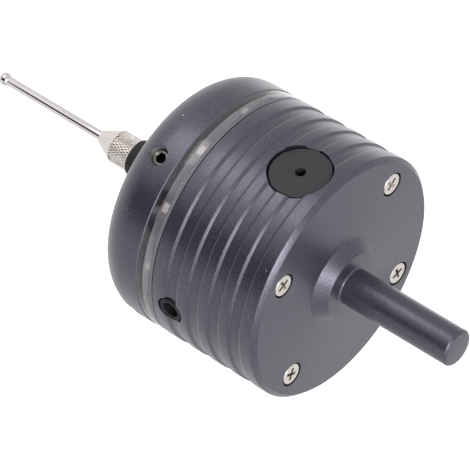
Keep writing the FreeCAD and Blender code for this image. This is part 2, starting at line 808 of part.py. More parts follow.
def make_contact_arms():
    body = new_body("contact_arm")
    corners = [(arm_root, 0.0), (arm_root, arm_radius), (arm_end - arm_bevel, arm_radius)]
    corners.append((arm_end, arm_radius - arm_bevel))
    corners.append((arm_end, 0.0))
    turn(body, "arm_turned", corners, "H_Axis")
    spots = [(0.0, 0.0, pivot, 360.0 / arm_count * i) for i in range(arm_count)]
    return copies("contact_arms", body, spots)


def make_thrust_ball():
    ball = doc.addObject("Part::Sphere", "thrust_ball")
    ball.Label = "thrust_ball"
    bind(ball, "Radius", thrust_radius)
    place(ball, z=pivot)
    return ball


def make_collet():
    body = new_body("collet")
    bore = stem_radius + stem_gap
    tail = nose_end + collet_bore_depth - 0.3
    cone_top = nut_rear - nut_thread_depth
    slope = (nose_radius + nut_gap - nut_tip_bore) / (nut_cone_end - nut_thread_depth)
    head_start = cone_top - 0.1
    head_end = nut_rear - nut_cone_end + 0.6
    start_radius = nose_radius + nut_gap - slope * (cone_top - head_start) - collet_gap
    end_radius = nose_radius + nut_gap - slope * (cone_top - head_end) - collet_gap
    corners = [(bore, tail), (collet_radius, tail), (collet_radius, nose_end - 0.1)]
    corners.append((start_radius, head_start))
    corners.append((end_radius, head_end))
    corners.append((bore, head_end))
    turn(body, "collet_turned", corners)
    half = collet_slot / 2
    slot = new_sketch(body, "collet_slot_outline", "XY_Plane", head_end - 1)
    add_outline(slot, box_corners(-nut_radius, nut_radius, -half, half))
    slot_cut = cut(body, "collet_slot", slot, nose_end + 3 - head_end, True)
    around_axis(body, "collet_slots", [slot_cut], 4)
    return body


def make_collet_nut():
    body = new_body("collet_nut")
    thread = nose_radius + nut_gap
    tip = nut_rear - nut_length
    corners = [(thread, nut_rear), (nut_radius - nut_bevel, nut_rear)]
    corners.append((nut_radius, nut_rear - nut_bevel))
    corners.append((nut_radius, nut_rear - nut_grip))
    corners.append((nut_tip, tip))
    corners.append((nut_tip_bore, tip))
    corners.append((nut_tip_bore, nut_rear - nut_cone_end))
    corners.append((thread, nut_rear - nut_thread_depth))
    turn(body, "nut_turned", corners)
    return body


def make_stylus_stem():
    body = new_body("stylus_stem")
    top = nose_end + stem_depth
    cup = root(ball_radius * ball_radius - stem_radius * stem_radius)
    corners = [(0.0, top), (stem_radius, top), (stem_radius, ball_height + cup, 0.0, ball_height, ball_radius)]
    corners.append((0.0, ball_height + ball_radius))
    turn(body, "stem_turned", corners)
    return body


def make_stylus_ball():
    ball = doc.addObject("Part::Sphere", "stylus_ball")
    ball.Label = "stylus_ball"
    bind(ball, "Radius", ball_radius)
    place(ball, z=ball_height)
    return ball


# Rubber boot: neck on the spindle and three folds that widen toward the cap
def make_dust_boot():
    body = new_body("dust_boot")
    front = nut_rear + boot_gap
    neck_end = front + boot_neck
    corners = [(boot_inner, front), (boot_radius, front), (boot_radius, neck_end)]
    inside = [(boot_inner, neck_end)]
    for i in range(boot_folds):
        valley = boot_radius + boot_growth * i
        start = neck_end + boot_pitch * i
        corners.append((valley + boot_swell, start + boot_pitch / 2))
        corners.append((valley + boot_growth, start + boot_pitch))
        inside.append((valley + boot_swell - boot_wall, start + boot_pitch / 2))
        inside.append((valley + boot_growth - boot_wall, start + boot_pitch))
    lip = boot_radius + boot_growth * boot_folds + boot_flare
    end = neck_end + boot_pitch * boot_folds + boot_lip
    corners.append((lip, end))
    inside.append((lip - boot_wall, end))
    inside.reverse()
    turn(body, "boot_moulded", corners + inside)
    return body


# Plunger, guide and spring behind the spindle
def make_spring_plunger():
    body = new_body("spring_plunger")
    tip = pivot + thrust_radius
    flange = pivot + plunger_flange_at
    flange_top = flange + plunger_flange_thickness
    end = wall_face - plunger_rod_end
    corners = [(0.0, tip), (plunger_tip, tip), (plunger_tip, flange), (plunger_flange, flange)]
    corners.append((plunger_flange, flange_top))
    corners.append((plunger_rod, flange_top))
    corners.append((plunger_rod, end - 0.3))
    corners.append((plunger_rod - 0.3, end))
    corners.append((0.0, end))
    turn(body, "plunger_turned", corners)
    return body


def make_spring_guide():
    body = new_body("spring_guide")
    flange = wall_face - guide_flange_thickness
    end = flange - guide_sleeve_length
    corners = [(0.0, wall_face + guide_stub_length - 0.1), (guide_stub, wall_face + guide_stub_length - 0.1)]
    corners.append((guide_stub, wall_face))
    corners.append((guide_flange, wall_face))
    corners.append((guide_flange, flange))
    corners.append((guide_sleeve, flange))
    corners.append((guide_sleeve, end))
    corners.append((guide_bore, end))
    corners.append((guide_bore, flange - 0.6))
    corners.append((0.0, flange - 0.6))
    turn(body, "guide_turned", corners)
    return body


def make_return_spring():
    low = pivot + plunger_flange_at + plunger_flange_thickness + wire_radius
    high = wall_face - guide_flange_thickness - wire_radius
    helix = doc.addObject("Part::Helix", "spring_path")
    bind(helix, "Radius", coil_radius)
    bind(helix, "Height", high - low)
    bind(helix, "Pitch", (high - low) / coil_turns)
    wire = doc.addObject("Part::Circle", "spring_section")
    bind(wire, "Radius", wire_radius)
    wire.Placement = FreeCAD.Placement(Vector(0, 0, 0), FreeCAD.Rotation(Vector(1, 0, 0), 90))
    bind(wire, "Placement.Base.x", coil_radius)
    doc.recompute()
    spring = doc.addObject("Part::Sweep", "return_spring")
    spring.Label = "return_spring"
    spring.Sections = [wire]
    spring.Spine = (helix, ["Edge1"])
    spring.Solid = True
    spring.Frenet = True
    place(spring, z=low)
    return spring


pieces = [
    make_housing(),
    make_front_cap(),
    make_set_screws(),
    make_light_ring(),
    make_led_board(),
    make_leds(),
    make_clamp_screws(),
    make_buzzer(),
    make_buzzer_leads(),
    make_jack_socket(),
    make_jack_pins(),
    make_board_components(),
    make_seat_ring(),
    make_contact_balls(),
    make_spindle(),
    make_contact_arms(),
    make_thrust_ball(),
    make_collet(),
    make_collet_nut(),
    make_stylus_stem(),
    make_stylus_ball(),
    make_dust_boot(),
    make_spring_plunger(),
    make_spring_guide(),
    make_return_spring(),
]
doc.recompute()

for thing in doc.Objects:
    if "Invalid" in thing.State or "Error" in thing.State:
        raise RuntimeError(thing.Label + " did not build: " + str(thing.State))

for piece in pieces:
    shape = piece.Shape
    if shape.isNull() or not shape.isValid():
        raise RuntimeError(piece.Label + " is not a sound solid")
    shape.exportStep("parts/" + piece.Label + ".step")
    print(piece.Label, len(shape.Solids), round(shape.Volume, 2), shape.BoundBox)
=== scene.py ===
# %% [markdown]
# A three-dimensional edge finder hangs by its shank over a pale floor. Its ball stylus touches a
# workpiece, tilts in a sprung seat, and the ring lights up. This script dresses the part that was
# built in CAD: the solids give the outer sizes, finer ones are named here, and Blender adds
# finishes, knurl, recesses and light.

# %% Load the solids
import math

import bmesh
import bpy
from mathutils import Matrix, Vector


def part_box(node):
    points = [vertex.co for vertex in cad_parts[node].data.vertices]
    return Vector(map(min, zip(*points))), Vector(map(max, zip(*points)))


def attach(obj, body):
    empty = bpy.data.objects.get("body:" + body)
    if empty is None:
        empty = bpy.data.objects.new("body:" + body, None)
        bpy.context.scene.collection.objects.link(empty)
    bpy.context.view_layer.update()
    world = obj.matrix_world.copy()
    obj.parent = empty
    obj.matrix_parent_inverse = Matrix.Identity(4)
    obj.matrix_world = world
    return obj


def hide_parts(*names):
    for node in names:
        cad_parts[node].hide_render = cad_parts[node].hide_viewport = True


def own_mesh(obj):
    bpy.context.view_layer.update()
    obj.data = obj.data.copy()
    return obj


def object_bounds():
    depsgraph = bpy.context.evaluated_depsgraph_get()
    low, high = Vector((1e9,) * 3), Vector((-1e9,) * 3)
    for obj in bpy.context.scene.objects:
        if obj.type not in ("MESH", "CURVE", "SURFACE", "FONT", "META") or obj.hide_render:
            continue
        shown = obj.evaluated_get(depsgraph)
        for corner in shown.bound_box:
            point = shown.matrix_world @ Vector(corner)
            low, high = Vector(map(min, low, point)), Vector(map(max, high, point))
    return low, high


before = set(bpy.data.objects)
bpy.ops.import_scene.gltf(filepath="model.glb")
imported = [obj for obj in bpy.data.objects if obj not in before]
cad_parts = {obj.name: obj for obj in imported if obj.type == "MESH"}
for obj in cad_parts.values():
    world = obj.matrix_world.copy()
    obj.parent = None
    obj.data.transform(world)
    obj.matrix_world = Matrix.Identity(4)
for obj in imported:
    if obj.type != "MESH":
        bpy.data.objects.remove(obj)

cad_low, cad_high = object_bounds()
print("solids:", len(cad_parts), "overall height in mm:", round((cad_high.z - cad_low.z) * 1000, 1))

# %% [markdown]
# The solids are read once for the sizes that the dressed pieces share, so a new pack changes them
# here as well. Blender works in metres, and a workshop thinks in millimetres: MM joins the two.

# %% Sizes shared by the pieces
MM = 0.001

housing_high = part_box("housing")[1]
cap_low, cap_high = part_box("front_cap")
ring_low, ring_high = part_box("light_ring")
board_low, board_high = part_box("led_board")
nut_low, nut_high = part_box("collet_nut")
buzzer_low, buzzer_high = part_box("buzzer")
socket_low, socket_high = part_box("jack_socket")
boot_low, boot_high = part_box("dust_boot")
ball_low, ball_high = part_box("stylus_ball")
stem_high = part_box("stylus_stem")[1]

ring_inset = 0.1 * MM
body_radius = ring_high.x + ring_inset
front_edge = board_high.z
shank_end = housing_high.z
shank_radius = 4.0 * MM
hub_height = 2.6 * MM
rear_face = -hub_height
STEPS = 288
print("body radius", round(body_radius / MM, 2), "front edge", round(front_edge / MM, 2))

# %% [markdown]
# Most of this object was turned on a lathe, so most of its pieces are a profile swept about the
# axis. Spin would do it in Edit Mode; here the rings of points are written out, which keeps the
# seam closed and the rings even. A real cutter never leaves a perfectly sharp edge, so each corner
# of a profile is broken by a few hundredths of a millimetre, and that is what catches the light.

# %% Turning helpers
AT_AXIS = 1e-9
LEAST_CORNER = math.radians(20)
LARGEST_SHARE = 0.35


def softened(profile, reach, closed):
    """The profile with each real corner replaced by a small round."""
    count = len(profile)
    result = []
    for i, corner in enumerate(profile):
        point = Vector(corner)
        back = Vector(profile[i - 1]) - point
        ahead = Vector(profile[(i + 1) % count]) - point
        at_end = not closed and i in (0, count - 1)
        if at_end or math.pi - back.angle(ahead) < LEAST_CORNER:
            result.append(tuple(point))
            continue
        cut = min(reach, LARGEST_SHARE * back.length, LARGEST_SHARE * ahead.length)
        first = point + back.normalized() * cut
        last = point + ahead.normalized() * cut
        for t in (0.0, 0.33, 0.67, 1.0):
            bend = first * (1 - t) ** 2 + point * 2 * t * (1 - t) + last * t ** 2
            result.append(tuple(bend))
    return result


def arc(centre, radius, start, end, count):
    """Points of a round stretch, angles in degrees."""
    points = []
    for i in range(count + 1):
        angle = math.radians(start + (end - start) * i / count)
        points.append((centre[0] + radius * math.cos(angle), centre[1] + radius * math.sin(angle)))
    return points


def smooth(mesh, angle=32.0):
    mesh.polygons.foreach_set("use_smooth", [True] * len(mesh.polygons))
    mesh.set_sharp_from_angle(angle=math.radians(angle))
    mesh.update()


def linked(name, data):
    """Puts a mesh, a lamp or a camera into the scene as an object."""
    made = bpy.data.objects.new(name, data)
    bpy.context.scene.collection.objects.link(made)
    return made


def mesh_object(name, work, sharp=None):
    """Turns what was drawn into an object, smoothed where an angle is given."""
    mesh = bpy.data.meshes.new(name)
    work.to_mesh(mesh)
    work.free()
    if sharp:
        smooth(mesh, sharp)
    return linked(name, mesh)


def lathe(name, profile, steps=STEPS, edge=0.06 * MM):
    """A turned piece. A profile that starts and ends on the axis is closed there, any other is a ring."""
    on_axis = profile[0][0] < AT_AXIS and profile[-1][0] < AT_AXIS
    points = softened(profile, edge, not on_axis) if edge else profile
    work = bmesh.new()
    rings = []
    for radius, height in points:
        if radius < AT_AXIS:
            rings.append([work.verts.new((0.0, 0.0, height))])
            continue
        ring = []
        for i in range(steps):
            angle = 2 * math.pi * i / steps
            ring.append(work.verts.new((radius * math.cos(angle), radius * math.sin(angle), height)))
        rings.append(ring)
    pairs = list(zip(rings, rings[1:]))
    if not on_axis:
        pairs.append((rings[-1], rings[0]))
    for here, there in pairs:
        for i in range(steps):
            j = (i + 1) % steps
            if len(here) == 1:
                work.faces.new((here[0], there[j], there[i]))
            elif len(there) == 1:
                work.faces.new((here[i], here[j], there[0]))
            else:
                work.faces.new((here[i], here[j], there[j], there[i]))
    bmesh.ops.recalc_face_normals(work, faces=work.faces)
    return mesh_object(name, work, 32.0)


def cutter(name, profile, steps=72):
    """A turned tool for a boolean, with its corners left sharp."""
    return lathe(name, profile, steps, edge=0.0)


def rod(name, radius, low, high, steps=96):
    return cutter(name, [(0.0, low), (radius, low), (radius, high), (0.0, high)], steps)


def move(thing, matrix):
    """Moves the mesh itself, so that the object stays at the origin."""
    thing.data.transform(matrix)
    if matrix.determinant() < 0:
        thing.data.flip_normals()
    thing.data.update()
    return thing


def along_x(thing, height, angle=0.0):
    """Lays a piece drawn on +Z along +X at this height, and turns it about the axis."""
    lay = Matrix.Rotation(math.radians(90), 4, "Y")
    turn = Matrix.Rotation(math.radians(angle), 4, "Z")
    return move(thing, turn @ Matrix.Translation((0, 0, height)) @ lay)


def at_angle(radius, angle, height):
    """The place at this distance from the axis, this angle in degrees and this height."""
    turn = math.radians(angle)
    return Vector((radius * math.cos(turn), radius * math.sin(turn), height))


def from_axis(point):
    return math.hypot(point.x, point.y)


def baked(thing, sharp=32.0):
    """Applies every modifier and gives back a plain mesh."""
    graph = bpy.context.evaluated_depsgraph_get()
    mesh = bpy.data.meshes.new_from_object(thing.evaluated_get(graph))
    old = thing.data
    thing.modifiers.clear()
    thing.data = mesh
    bpy.data.meshes.remove(old)
    smooth(mesh, sharp)
    return thing


def carved(thing, cutters, sharp=32.0):
    """Cuts away every cutter and deletes it."""
    for tool in cutters:
        knife = thing.modifiers.new("cut", "BOOLEAN")
        knife.operation = "DIFFERENCE"
        knife.solver = "EXACT"
        knife.object = tool
    bpy.context.view_layer.update()
    baked(thing, sharp)
    for tool in cutters:
        bpy.data.objects.remove(tool, do_unlink=True)
    return thing


print("turning helpers ready")

# %% [markdown]
# Every finish is a small node tree. Colours are picked as sRGB hex values, the way a paint chart
# gives them, and the shader wants linear light, so one function converts them.

# %% Material helpers
def linear(code):
    """sRGB hex to the linear values that the shader takes."""
    values = []
    for i in (1, 3, 5):
        channel = int(code[i:i + 2], 16) / 255
        low = channel / 12.92
        high = ((channel + 0.055) / 1.055) ** 2.4
        values.append(low if channel <= 0.04045 else high)
    return (values[0], values[1], values[2], 1.0)


def add(tree, kind, settings=None, **sockets):
    """Adds a node. Settings are its own properties, sockets are values or links by input name."""
    node = tree.nodes.new(kind)
    for key, value in (settings or {}).items():
        setattr(node, key, value)
    for key, value in sockets.items():
        name = key.replace("_", " ")
        socket = node.inputs[int(key[1:])] if key[0] == "i" and key[1:].isdigit() else node.inputs[name]
        if isinstance(value, bpy.types.NodeSocket):
            tree.links.new(value, socket)
        else:
            socket.default_value = value
    return node


def shader_of(finish):
    return finish.node_tree.nodes["Principled BSDF"]


def simple_finish(name, colour, metallic, roughness, **more):
    """A material with one even finish. More of the shader's inputs are given by name."""
    finish = bpy.data.materials.new(name)
    finish.use_nodes = True
    values = {"Base_Color": linear(colour), "Metallic": metallic, "Roughness": roughness, **more}
    for key, value in values.items():
        shader_of(finish).inputs[key.replace("_", " ")].default_value = value
    return finish


print("material helpers ready")

# %% [markdown]
# Anodised aluminium: the turned body is bead-blasted, then its surface is grown into a thin layer
# of clear oxide over a dark blue-grey dye. The dyed metal gives a dark, bluish sheen. The oxide
# above it adds a colourless gloss, as a coat, that brightens toward the edges of the body. The
# blasting leaves tiny dents. They are drawn 0.2 mm wide, because finer ones vanish in a picture.

# %% Anodised aluminium
def anodised_aluminium():
    dent_width = 0.22 * MM
    dent_depth = 0.03 * MM
    finish = simple_finish("anodised_aluminium", "#393847", 0.6, 0.37,
                           Coat_Weight=0.5, Coat_Roughness=0.32, Coat_IOR=1.7)
    tree = finish.node_tree
    shader = shader_of(finish)
    place = add(tree, "ShaderNodeTexCoord")
    grain = add(tree, "ShaderNodeTexNoise", Vector=place.outputs["Object"],
                Scale=1 / dent_width, Detail=1.0, Roughness=0.6)
    spread = add(tree, "ShaderNodeMapRange", Value=grain.outputs["Fac"], From_Min=0.36, From_Max=0.64)
    tint = add(tree, "ShaderNodeMix", {"data_type": "RGBA"}, i0=spread.outputs["Result"],
               i6=linear("#282737"), i7=linear("#4a4959"))
    tree.links.new(tint.outputs[2], shader.inputs["Base Color"])
    dents = add(tree, "ShaderNodeBump", Height=grain.outputs["Fac"], Strength=0.7, Distance=dent_depth)
    tree.links.new(dents.outputs["Normal"], shader.inputs["Normal"])
    tree.links.new(dents.outputs["Normal"], shader.inputs["Coat Normal"])
    return finish


anodised = anodised_aluminium()
print("made", anodised.name)

# %% [markdown]
# The small metal pieces: nickel plate, bright on the knurled nut and duller on the screw heads,
# black oxide on the socket set screws, polished steel on the stylus, and plain turned metal on what
# hides inside. A knock or a scratch shows paler bare metal. The pale set screw bevels and the pale
# rim bevel of the cap are painted highlights. The cap's bare threads are painted lighter still, as
# painted light, and the darker nickel in the cross recesses is painted shade.

# %% Metals
nickel = simple_finish("bright_nickel_plate", "#d3ccc8", 1.0, 0.2)
head_nickel = simple_finish("dull_nickel_plate", "#d3cec7", 1.0, 0.28)
recess_painted_shade = simple_finish("shaded_recess", "#7d756e", 0.8, 0.5)
black_oxide = simple_finish("black_oxide_steel", "#26262a", 0.9, 0.34)
painted_socket_bevel = simple_finish("worn_oxide_edge", "#8d8a80", 0.9, 0.35)
polished = simple_finish("polished_steel", "#c8c3c3", 1.0, 0.1)
turned_steel = simple_finish("turned_steel", "#9c9b98", 1.0, 0.32)
spring_wire = simple_finish("drawn_spring_wire", "#77777a", 1.0, 0.3)
tinned = simple_finish("tinned_copper", "#c9c8c2", 1.0, 0.3)
brass = simple_finish("turned_brass", "#b89657", 1.0, 0.3)
gold = simple_finish("gold_plate", "#c8a15a", 1.0, 0.25)
painted_rim_highlight = simple_finish("burnished_aluminium_edge", "#66656f", 0.9, 0.6)
bare_thread_painted_light = simple_finish("tapped_aluminium", "#a5a4a8", 0.9, 0.35)
fresh_metal = simple_finish("fresh_nick", "#d6d4d0", 0.6, 0.6)
print("metals ready")

# %% [markdown]
# The plastics: moulded black ABS with a faint grain for the buzzer, nylon for the socket, soft
# rubber for the boot, woven glass and epoxy for the board, whose cut edge is brownish, and white
# moulded packages with a yellow phosphor window for the light blocks.

# %% Plastics and board
def moulded(name, colour, roughness, grain_size, strength, **more):
    """A plastic with a fine grain, whose hollows are 0.02 mm deep."""
    finish = simple_finish(name, colour, 0.0, roughness, **more)
    tree = finish.node_tree
    place = add(tree, "ShaderNodeTexCoord")
    grain = add(tree, "ShaderNodeTexNoise", Vector=place.outputs["Object"],
                Scale=1 / grain_size, Detail=2.0)
    bump = add(tree, "ShaderNodeBump", Height=grain.outputs["Fac"], Strength=strength,
               Distance=0.02 * MM)
    tree.links.new(bump.outputs["Normal"], shader_of(finish).inputs["Normal"])
    return finish


black_abs = moulded("moulded_black_abs", "#232227", 0.55, 0.35 * MM, 0.25)
black_nylon = moulded("moulded_black_nylon", "#1b1b1e", 0.5, 0.4 * MM, 0.1, Specular_IOR_Level=0.2)
black_rubber = moulded("moulded_black_rubber", "#1f1d1f", 0.7, 0.3 * MM, 0.2)
black_acetal = moulded("turned_black_acetal", "#202022", 0.4, 0.4 * MM, 0.1)
chip_epoxy = moulded("chip_epoxy", "#2b2b2c", 0.5, 0.3 * MM, 0.1)
board_epoxy = moulded("glass_epoxy_edge", "#68676d", 0.5, 0.25 * MM, 0.3)
board_mask = simple_finish("white_solder_mask", "#d6d6d2", 0.0, 0.4)
led_white = simple_finish("white_led_package", "#dcd3ce", 0.0, 0.35)
phosphor = simple_finish("yellow_phosphor", "#e6c46a", 0.0, 0.3)
print("plastics ready")

# %% [markdown]
# Clear acrylic: the ring's outer wall is polished and lets the eye in. The rear face, the channel
# and the passages keep the marks of their cutters and scatter light, some more and some less, so
# each has a finish of its own. The front face lies on the dark cap, and its finish is painted dark
# grey and less clear: painted shade that stands in for the dark cap seen through it. Beside each
# clamp screw a window stays clear, and the thread shows. Acrylic bends light with an index of 1.49.

# %% Clear acrylic
def clear_acrylic(name, roughness, clearness=1.0):
    return simple_finish(name, "#f1f0f4", 0.0, roughness, Transmission_Weight=clearness, IOR=1.49)


acrylic = clear_acrylic("polished_clear_acrylic", 0.08)
frosted = clear_acrylic("machined_clear_acrylic", 0.5)
turned_acrylic = clear_acrylic("turned_clear_acrylic", 0.3)
scraped_acrylic = clear_acrylic("scraped_clear_acrylic", 0.7, 0.5)
front_acrylic_painted_shade = simple_finish("clear_acrylic_on_the_cap", "#3c3c44", 0.0, 0.3, Transmission_Weight=0.45)
print("made", acrylic.name, "and", frosted.name)

# %% [markdown]
# One helper says all three.

# %% Dressing helpers
def give_finishes(thing, *finishes):
    """Fills a piece's material slots with these finishes."""
    thing.data.materials.clear()
    for finish in finishes:
        thing.data.materials.append(finish)


def dress(thing, finish, body, node):
    """A piece with several finishes has them already."""
    if finish:
        give_finishes(thing, finish)
    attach(thing, body)
    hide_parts(node)
    print("dressed", thing.name, "faces", len(thing.data.polygons))


print("dressing helpers ready")

# %% [markdown]
# What repeats about the axis is placed by Geometry Nodes: one piece is drawn at angle zero, and the
# tree stands copies of it round the axis. Count and first angle are inputs of the tree, so the set
# screws and the light blocks both use it. Instances are made real, since the export wants plain
# meshes, and the finish of each face is then given back to every copy.

# %% A tree that repeats a piece about the axis
def new_tree(name, **inputs):
    """An empty tree that takes these inputs and gives back geometry."""
    tree = bpy.data.node_groups.new(name, "GeometryNodeTree")
    for key, kind in inputs.items():
        tree.interface.new_socket(key.replace("_", " "), in_out="INPUT", socket_type="NodeSocket" + kind)
    tree.interface.new_socket("Geometry", in_out="OUTPUT", socket_type="NodeSocketGeometry")
    return tree


def about_axis_tree():
    tree = new_tree("repeat_about_axis", Geometry="Geometry", Piece="Object", Count="Int",
                    First_Angle="Float", Finish="Material")
    given = add(tree, "NodeGroupInput")
    piece = add(tree, "GeometryNodeObjectInfo", i0=given.outputs["Piece"])
    marks = add(tree, "GeometryNodePoints", Count=given.outputs["Count"])
    index = add(tree, "GeometryNodeInputIndex")
    share = add(tree, "ShaderNodeMath", {"operation": "DIVIDE"}, i0=2 * math.pi,
                i1=given.outputs["Count"])
    start = add(tree, "ShaderNodeMath", {"operation": "RADIANS"}, i0=given.outputs["First Angle"])
    turn = add(tree, "ShaderNodeMath", {"operation": "MULTIPLY_ADD"}, i0=index.outputs[0],
               i1=share.outputs[0], i2=start.outputs[0])
    spin = add(tree, "ShaderNodeCombineXYZ", Z=turn.outputs[0])
    copies = add(tree, "GeometryNodeInstanceOnPoints", Points=marks.outputs[0],
                 Instance=piece.outputs["Geometry"], Rotation=spin.outputs[0])
    real = add(tree, "GeometryNodeRealizeInstances", Geometry=copies.outputs[0])
    coat = add(tree, "GeometryNodeSetMaterial", Geometry=real.outputs[0],
               Material=given.outputs["Finish"])
    add(tree, "NodeGroupOutput", Geometry=coat.outputs[0])
    return tree


def set_inputs(modifier, **values):
    """Sets a modifier's inputs by each socket's identifier."""
    for item in modifier.node_group.interface.items_tree:
        if item.item_type != "SOCKET" or item.in_out != "INPUT":
            continue
        key = item.name.replace(" ", "_")
        if key in values:
            modifier[item.identifier] = values[key]


repeat_tree = about_axis_tree()


def repeated(name, piece, count, first_angle, sharp=32.0):
    """One mesh with copies of a piece round the axis. The piece itself is deleted."""
    finishes = list(piece.data.materials)
    indices = [face.material_index for face in piece.data.polygons]
    holder = linked(name, bpy.data.meshes.new(name))
    modifier = holder.modifiers.new("repeat", "NODES")
    modifier.node_group = repeat_tree
    set_inputs(modifier, Piece=piece, Count=count, First_Angle=first_angle, Finish=finishes[0])
    bpy.context.view_layer.update()
    baked(holder, sharp)
    give_finishes(holder, *finishes)
    holder.data.polygons.foreach_set("material_index", indices * count)
    bpy.data.objects.remove(piece, do_unlink=True)
    return holder


def joined(name, things):
    """One mesh from several, with their materials kept."""
    work = bmesh.new()
    finishes = []
    for thing in things:
        mesh = thing.data.copy()
        shift = len(finishes)
        for face in mesh.polygons:
            face.material_index += shift
        finishes.extend(mesh.materials)
        work.from_mesh(mesh)
        bpy.data.meshes.remove(mesh)
    made = mesh_object(name, work, 32.0)
    for finish in finishes:
        made.data.materials.append(finish)
    for thing in things:
        bpy.data.objects.remove(thing, do_unlink=True)
    return made


print("tree made:", repeat_tree.name)

# %% [markdown]
# The housing is one turned piece: shank, hub, rear wall and a body with four grooves. Each groove
# has a sloped wall toward the front and a steep one toward the rear. Before the steep wall the nose
# of the tool left a gentle slope, and at the wall's foot it cut a fine relief. Together they show as
# the thin dark line along each groove. A narrow step at the front edge leaves the dark gap before
# the board.

# %% Housing profile
shank_chamfer = 0.4 * MM
shank_foot = 0.5 * MM
hub_top_radius = 7.4 * MM
hub_base_radius = 9.6 * MM
groove_first = 5.5 * MM
groove_pitch = 5.45 * MM
groove_width = 3.14 * MM
groove_depth = 0.5 * MM
groove_count = 4
wall_foot_round = 0.6 * MM
wall_top_round = 0.4 * MM
wall_slope = 60
wall_place = 0.29 * MM
nose_drop = 0.1 * MM
nose_length = 0.42 * MM
nose_edge = 0.03 * MM
nose_round_drop = 0.06 * nose_drop
nose_round_reach = 0.44 * nose_length
relief_depth = 0.1 * MM
relief_width = 0.24 * MM
relief_lean = 0.02 * MM
rear_bevel = 1.0 * MM
gap_width = 0.24 * MM
gap_depth = 0.5 * MM
bore_wall = 8.5 * MM
bore_radius = body_radius - bore_wall
rear_wall = 3.8 * MM
wall_face = rear_face - rear_wall


def sloped_wall(floor_radius, front):
    """The groove's front wall, drawn as an S: a round at its foot runs into a round at its top."""
    foot, top = wall_foot_round, wall_top_round
    middle = front + wall_place
    half = (foot + top) * math.sin(math.radians(wall_slope)) / 2
    points = arc((floor_radius + foot, middle + half), foot, 180, 180 + wall_slope, 6)
    points += arc((body_radius - top, middle - half), top, wall_slope, 0, 5)[1:]
    return points


def steep_wall(floor_radius, rear):
    """The groove's rear wall: the tool nose's gentle slope, the wall, and the relief at its foot."""
    start, end = rear + nose_length / 2, rear - nose_length / 2
    points = [(body_radius, start + nose_edge), (body_radius, start)]
    points.append((body_radius - nose_round_drop, rear + nose_round_reach))
    points.append((body_radius - nose_drop, end))
    points.append((floor_radius - relief_depth, end - relief_lean))
    points.append((floor_radius - relief_depth, end - relief_width))
    points.append((floor_radius, end - relief_width - relief_lean))
    return points


def housing_profile():
    points = [(0.0, shank_end), (shank_radius - shank_chamfer, shank_end)]
    points.append((shank_radius, shank_end - shank_chamfer))
    points.append((shank_radius, shank_foot))
    points += arc((shank_radius + shank_foot, shank_foot), shank_foot, 190, 260, 5)
    points.append((shank_radius + shank_foot, 0.0))
    points.append((hub_top_radius, 0.0))
    points.append((hub_base_radius, rear_face))
    points.append((body_radius - rear_bevel, rear_face))
    points.append((body_radius, rear_face - rear_bevel))
    floor_radius = body_radius - groove_depth
    for i in range(groove_count):
        middle = rear_face - groove_first - groove_pitch * i
        points += steep_wall(floor_radius, middle + groove_width / 2)
        points += sloped_wall(floor_radius, middle - groove_width / 2)
    points.append((body_radius, front_edge + gap_width))
    points.append((body_radius - gap_depth, front_edge + gap_width))
    points.append((body_radius - gap_depth, front_edge))
    points.append((bore_radius, front_edge))
    points.append((bore_radius, wall_face))
    points.append((0.0, wall_face))
    return points


housing = lathe("housing_shell", housing_profile())
print("housing profile points", len(housing_profile()))

# %% [markdown]
# Pockets are cut by booleans with turned cutters: one for the buzzer, one for the socket, and four
# countersinks. The exact solver copes with a cutter whose wall just meets the turned surface. Use
# has left a pale speck and a faint scratch on the body. A small ball and a thin rod cut them, and
# bright bare metal shows in the speck.

# %% Pockets, countersinks and two traces of wear
buzzer_height = (buzzer_low.z + buzzer_high.z) / 2
buzzer_radius = (buzzer_high.z - buzzer_low.z) / 2
buzzer_gap = 0.3 * MM
buzzer_floor = 16.4 * MM
socket_rise = 4.7 * MM
socket_height = front_edge + socket_rise
socket_pocket = 3.05 * MM
socket_floor = 17 * MM
past_body = 30 * MM
clamp_inset = 5.5 * MM
clamp_circle = body_radius - clamp_inset
clamp_angle = 51.0
clamp_angles = (clamp_angle, 180 - clamp_angle, clamp_angle - 180, -clamp_angle)
clamp_mouth = 2.7 * MM
clamp_rim = 1.2 * MM
clamp_step = 0.3 * MM
clamp_hole = 1.45 * MM
mouth_reach = 0.5 * MM
mouth_break = 0.04 * MM
largest_nick_face = 0.02 * MM * MM
speck_place = at_angle(body_radius + 0.05 * MM, 45.3, -4.6 * MM)
speck_radius = 0.1 * MM
speck_reach = 0.24 * MM
scratch_lift = 0.06 * MM
scratch_radius = 0.1 * MM
scratch_start = at_angle(body_radius + scratch_lift, 62.4, -25.1 * MM)
scratch_end = at_angle(body_radius + scratch_lift, 63.6, -22.1 * MM)


def countersink(angle):
    depth = clamp_rim + clamp_mouth - clamp_step - clamp_hole
    profile = [(0.0, mouth_reach), (clamp_mouth + mouth_reach, mouth_reach)]
    profile += [(clamp_mouth + mouth_break, mouth_break), (clamp_mouth, 0.0)]
    profile += [(clamp_mouth, -clamp_rim), (clamp_mouth - clamp_step, -clamp_rim)]
    profile += [(clamp_hole, -depth), (clamp_hole, -past_body), (0.0, -past_body)]
    return move(cutter("countersink", profile), Matrix.Translation(at_angle(clamp_circle, angle, rear_face)))


def pip(name, place, radius):
    """A small ball that cuts a nick."""
    outline = arc((0.0, 0.0), radius, -90, 90, 10)
    outline = [(0.0, -radius)] + outline[1:-1] + [(0.0, radius)]
    return move(cutter(name, outline, 16), Matrix.Translation(place))


def scratch_cutter():
    """A thin rod laid over the surface between two places."""
    way = scratch_end - scratch_start
    turn = way.to_track_quat("Z", "Y").to_matrix().to_4x4()
    tool = rod("scratch_cut", scratch_radius, 0.0, way.length, 12)
    return move(tool, Matrix.Translation(scratch_start) @ turn)


def in_nick(face, place, reach):
    """True for one of the small faces that a nick's cutter left."""
    return (face.center - place).length < reach and face.area < largest_nick_face


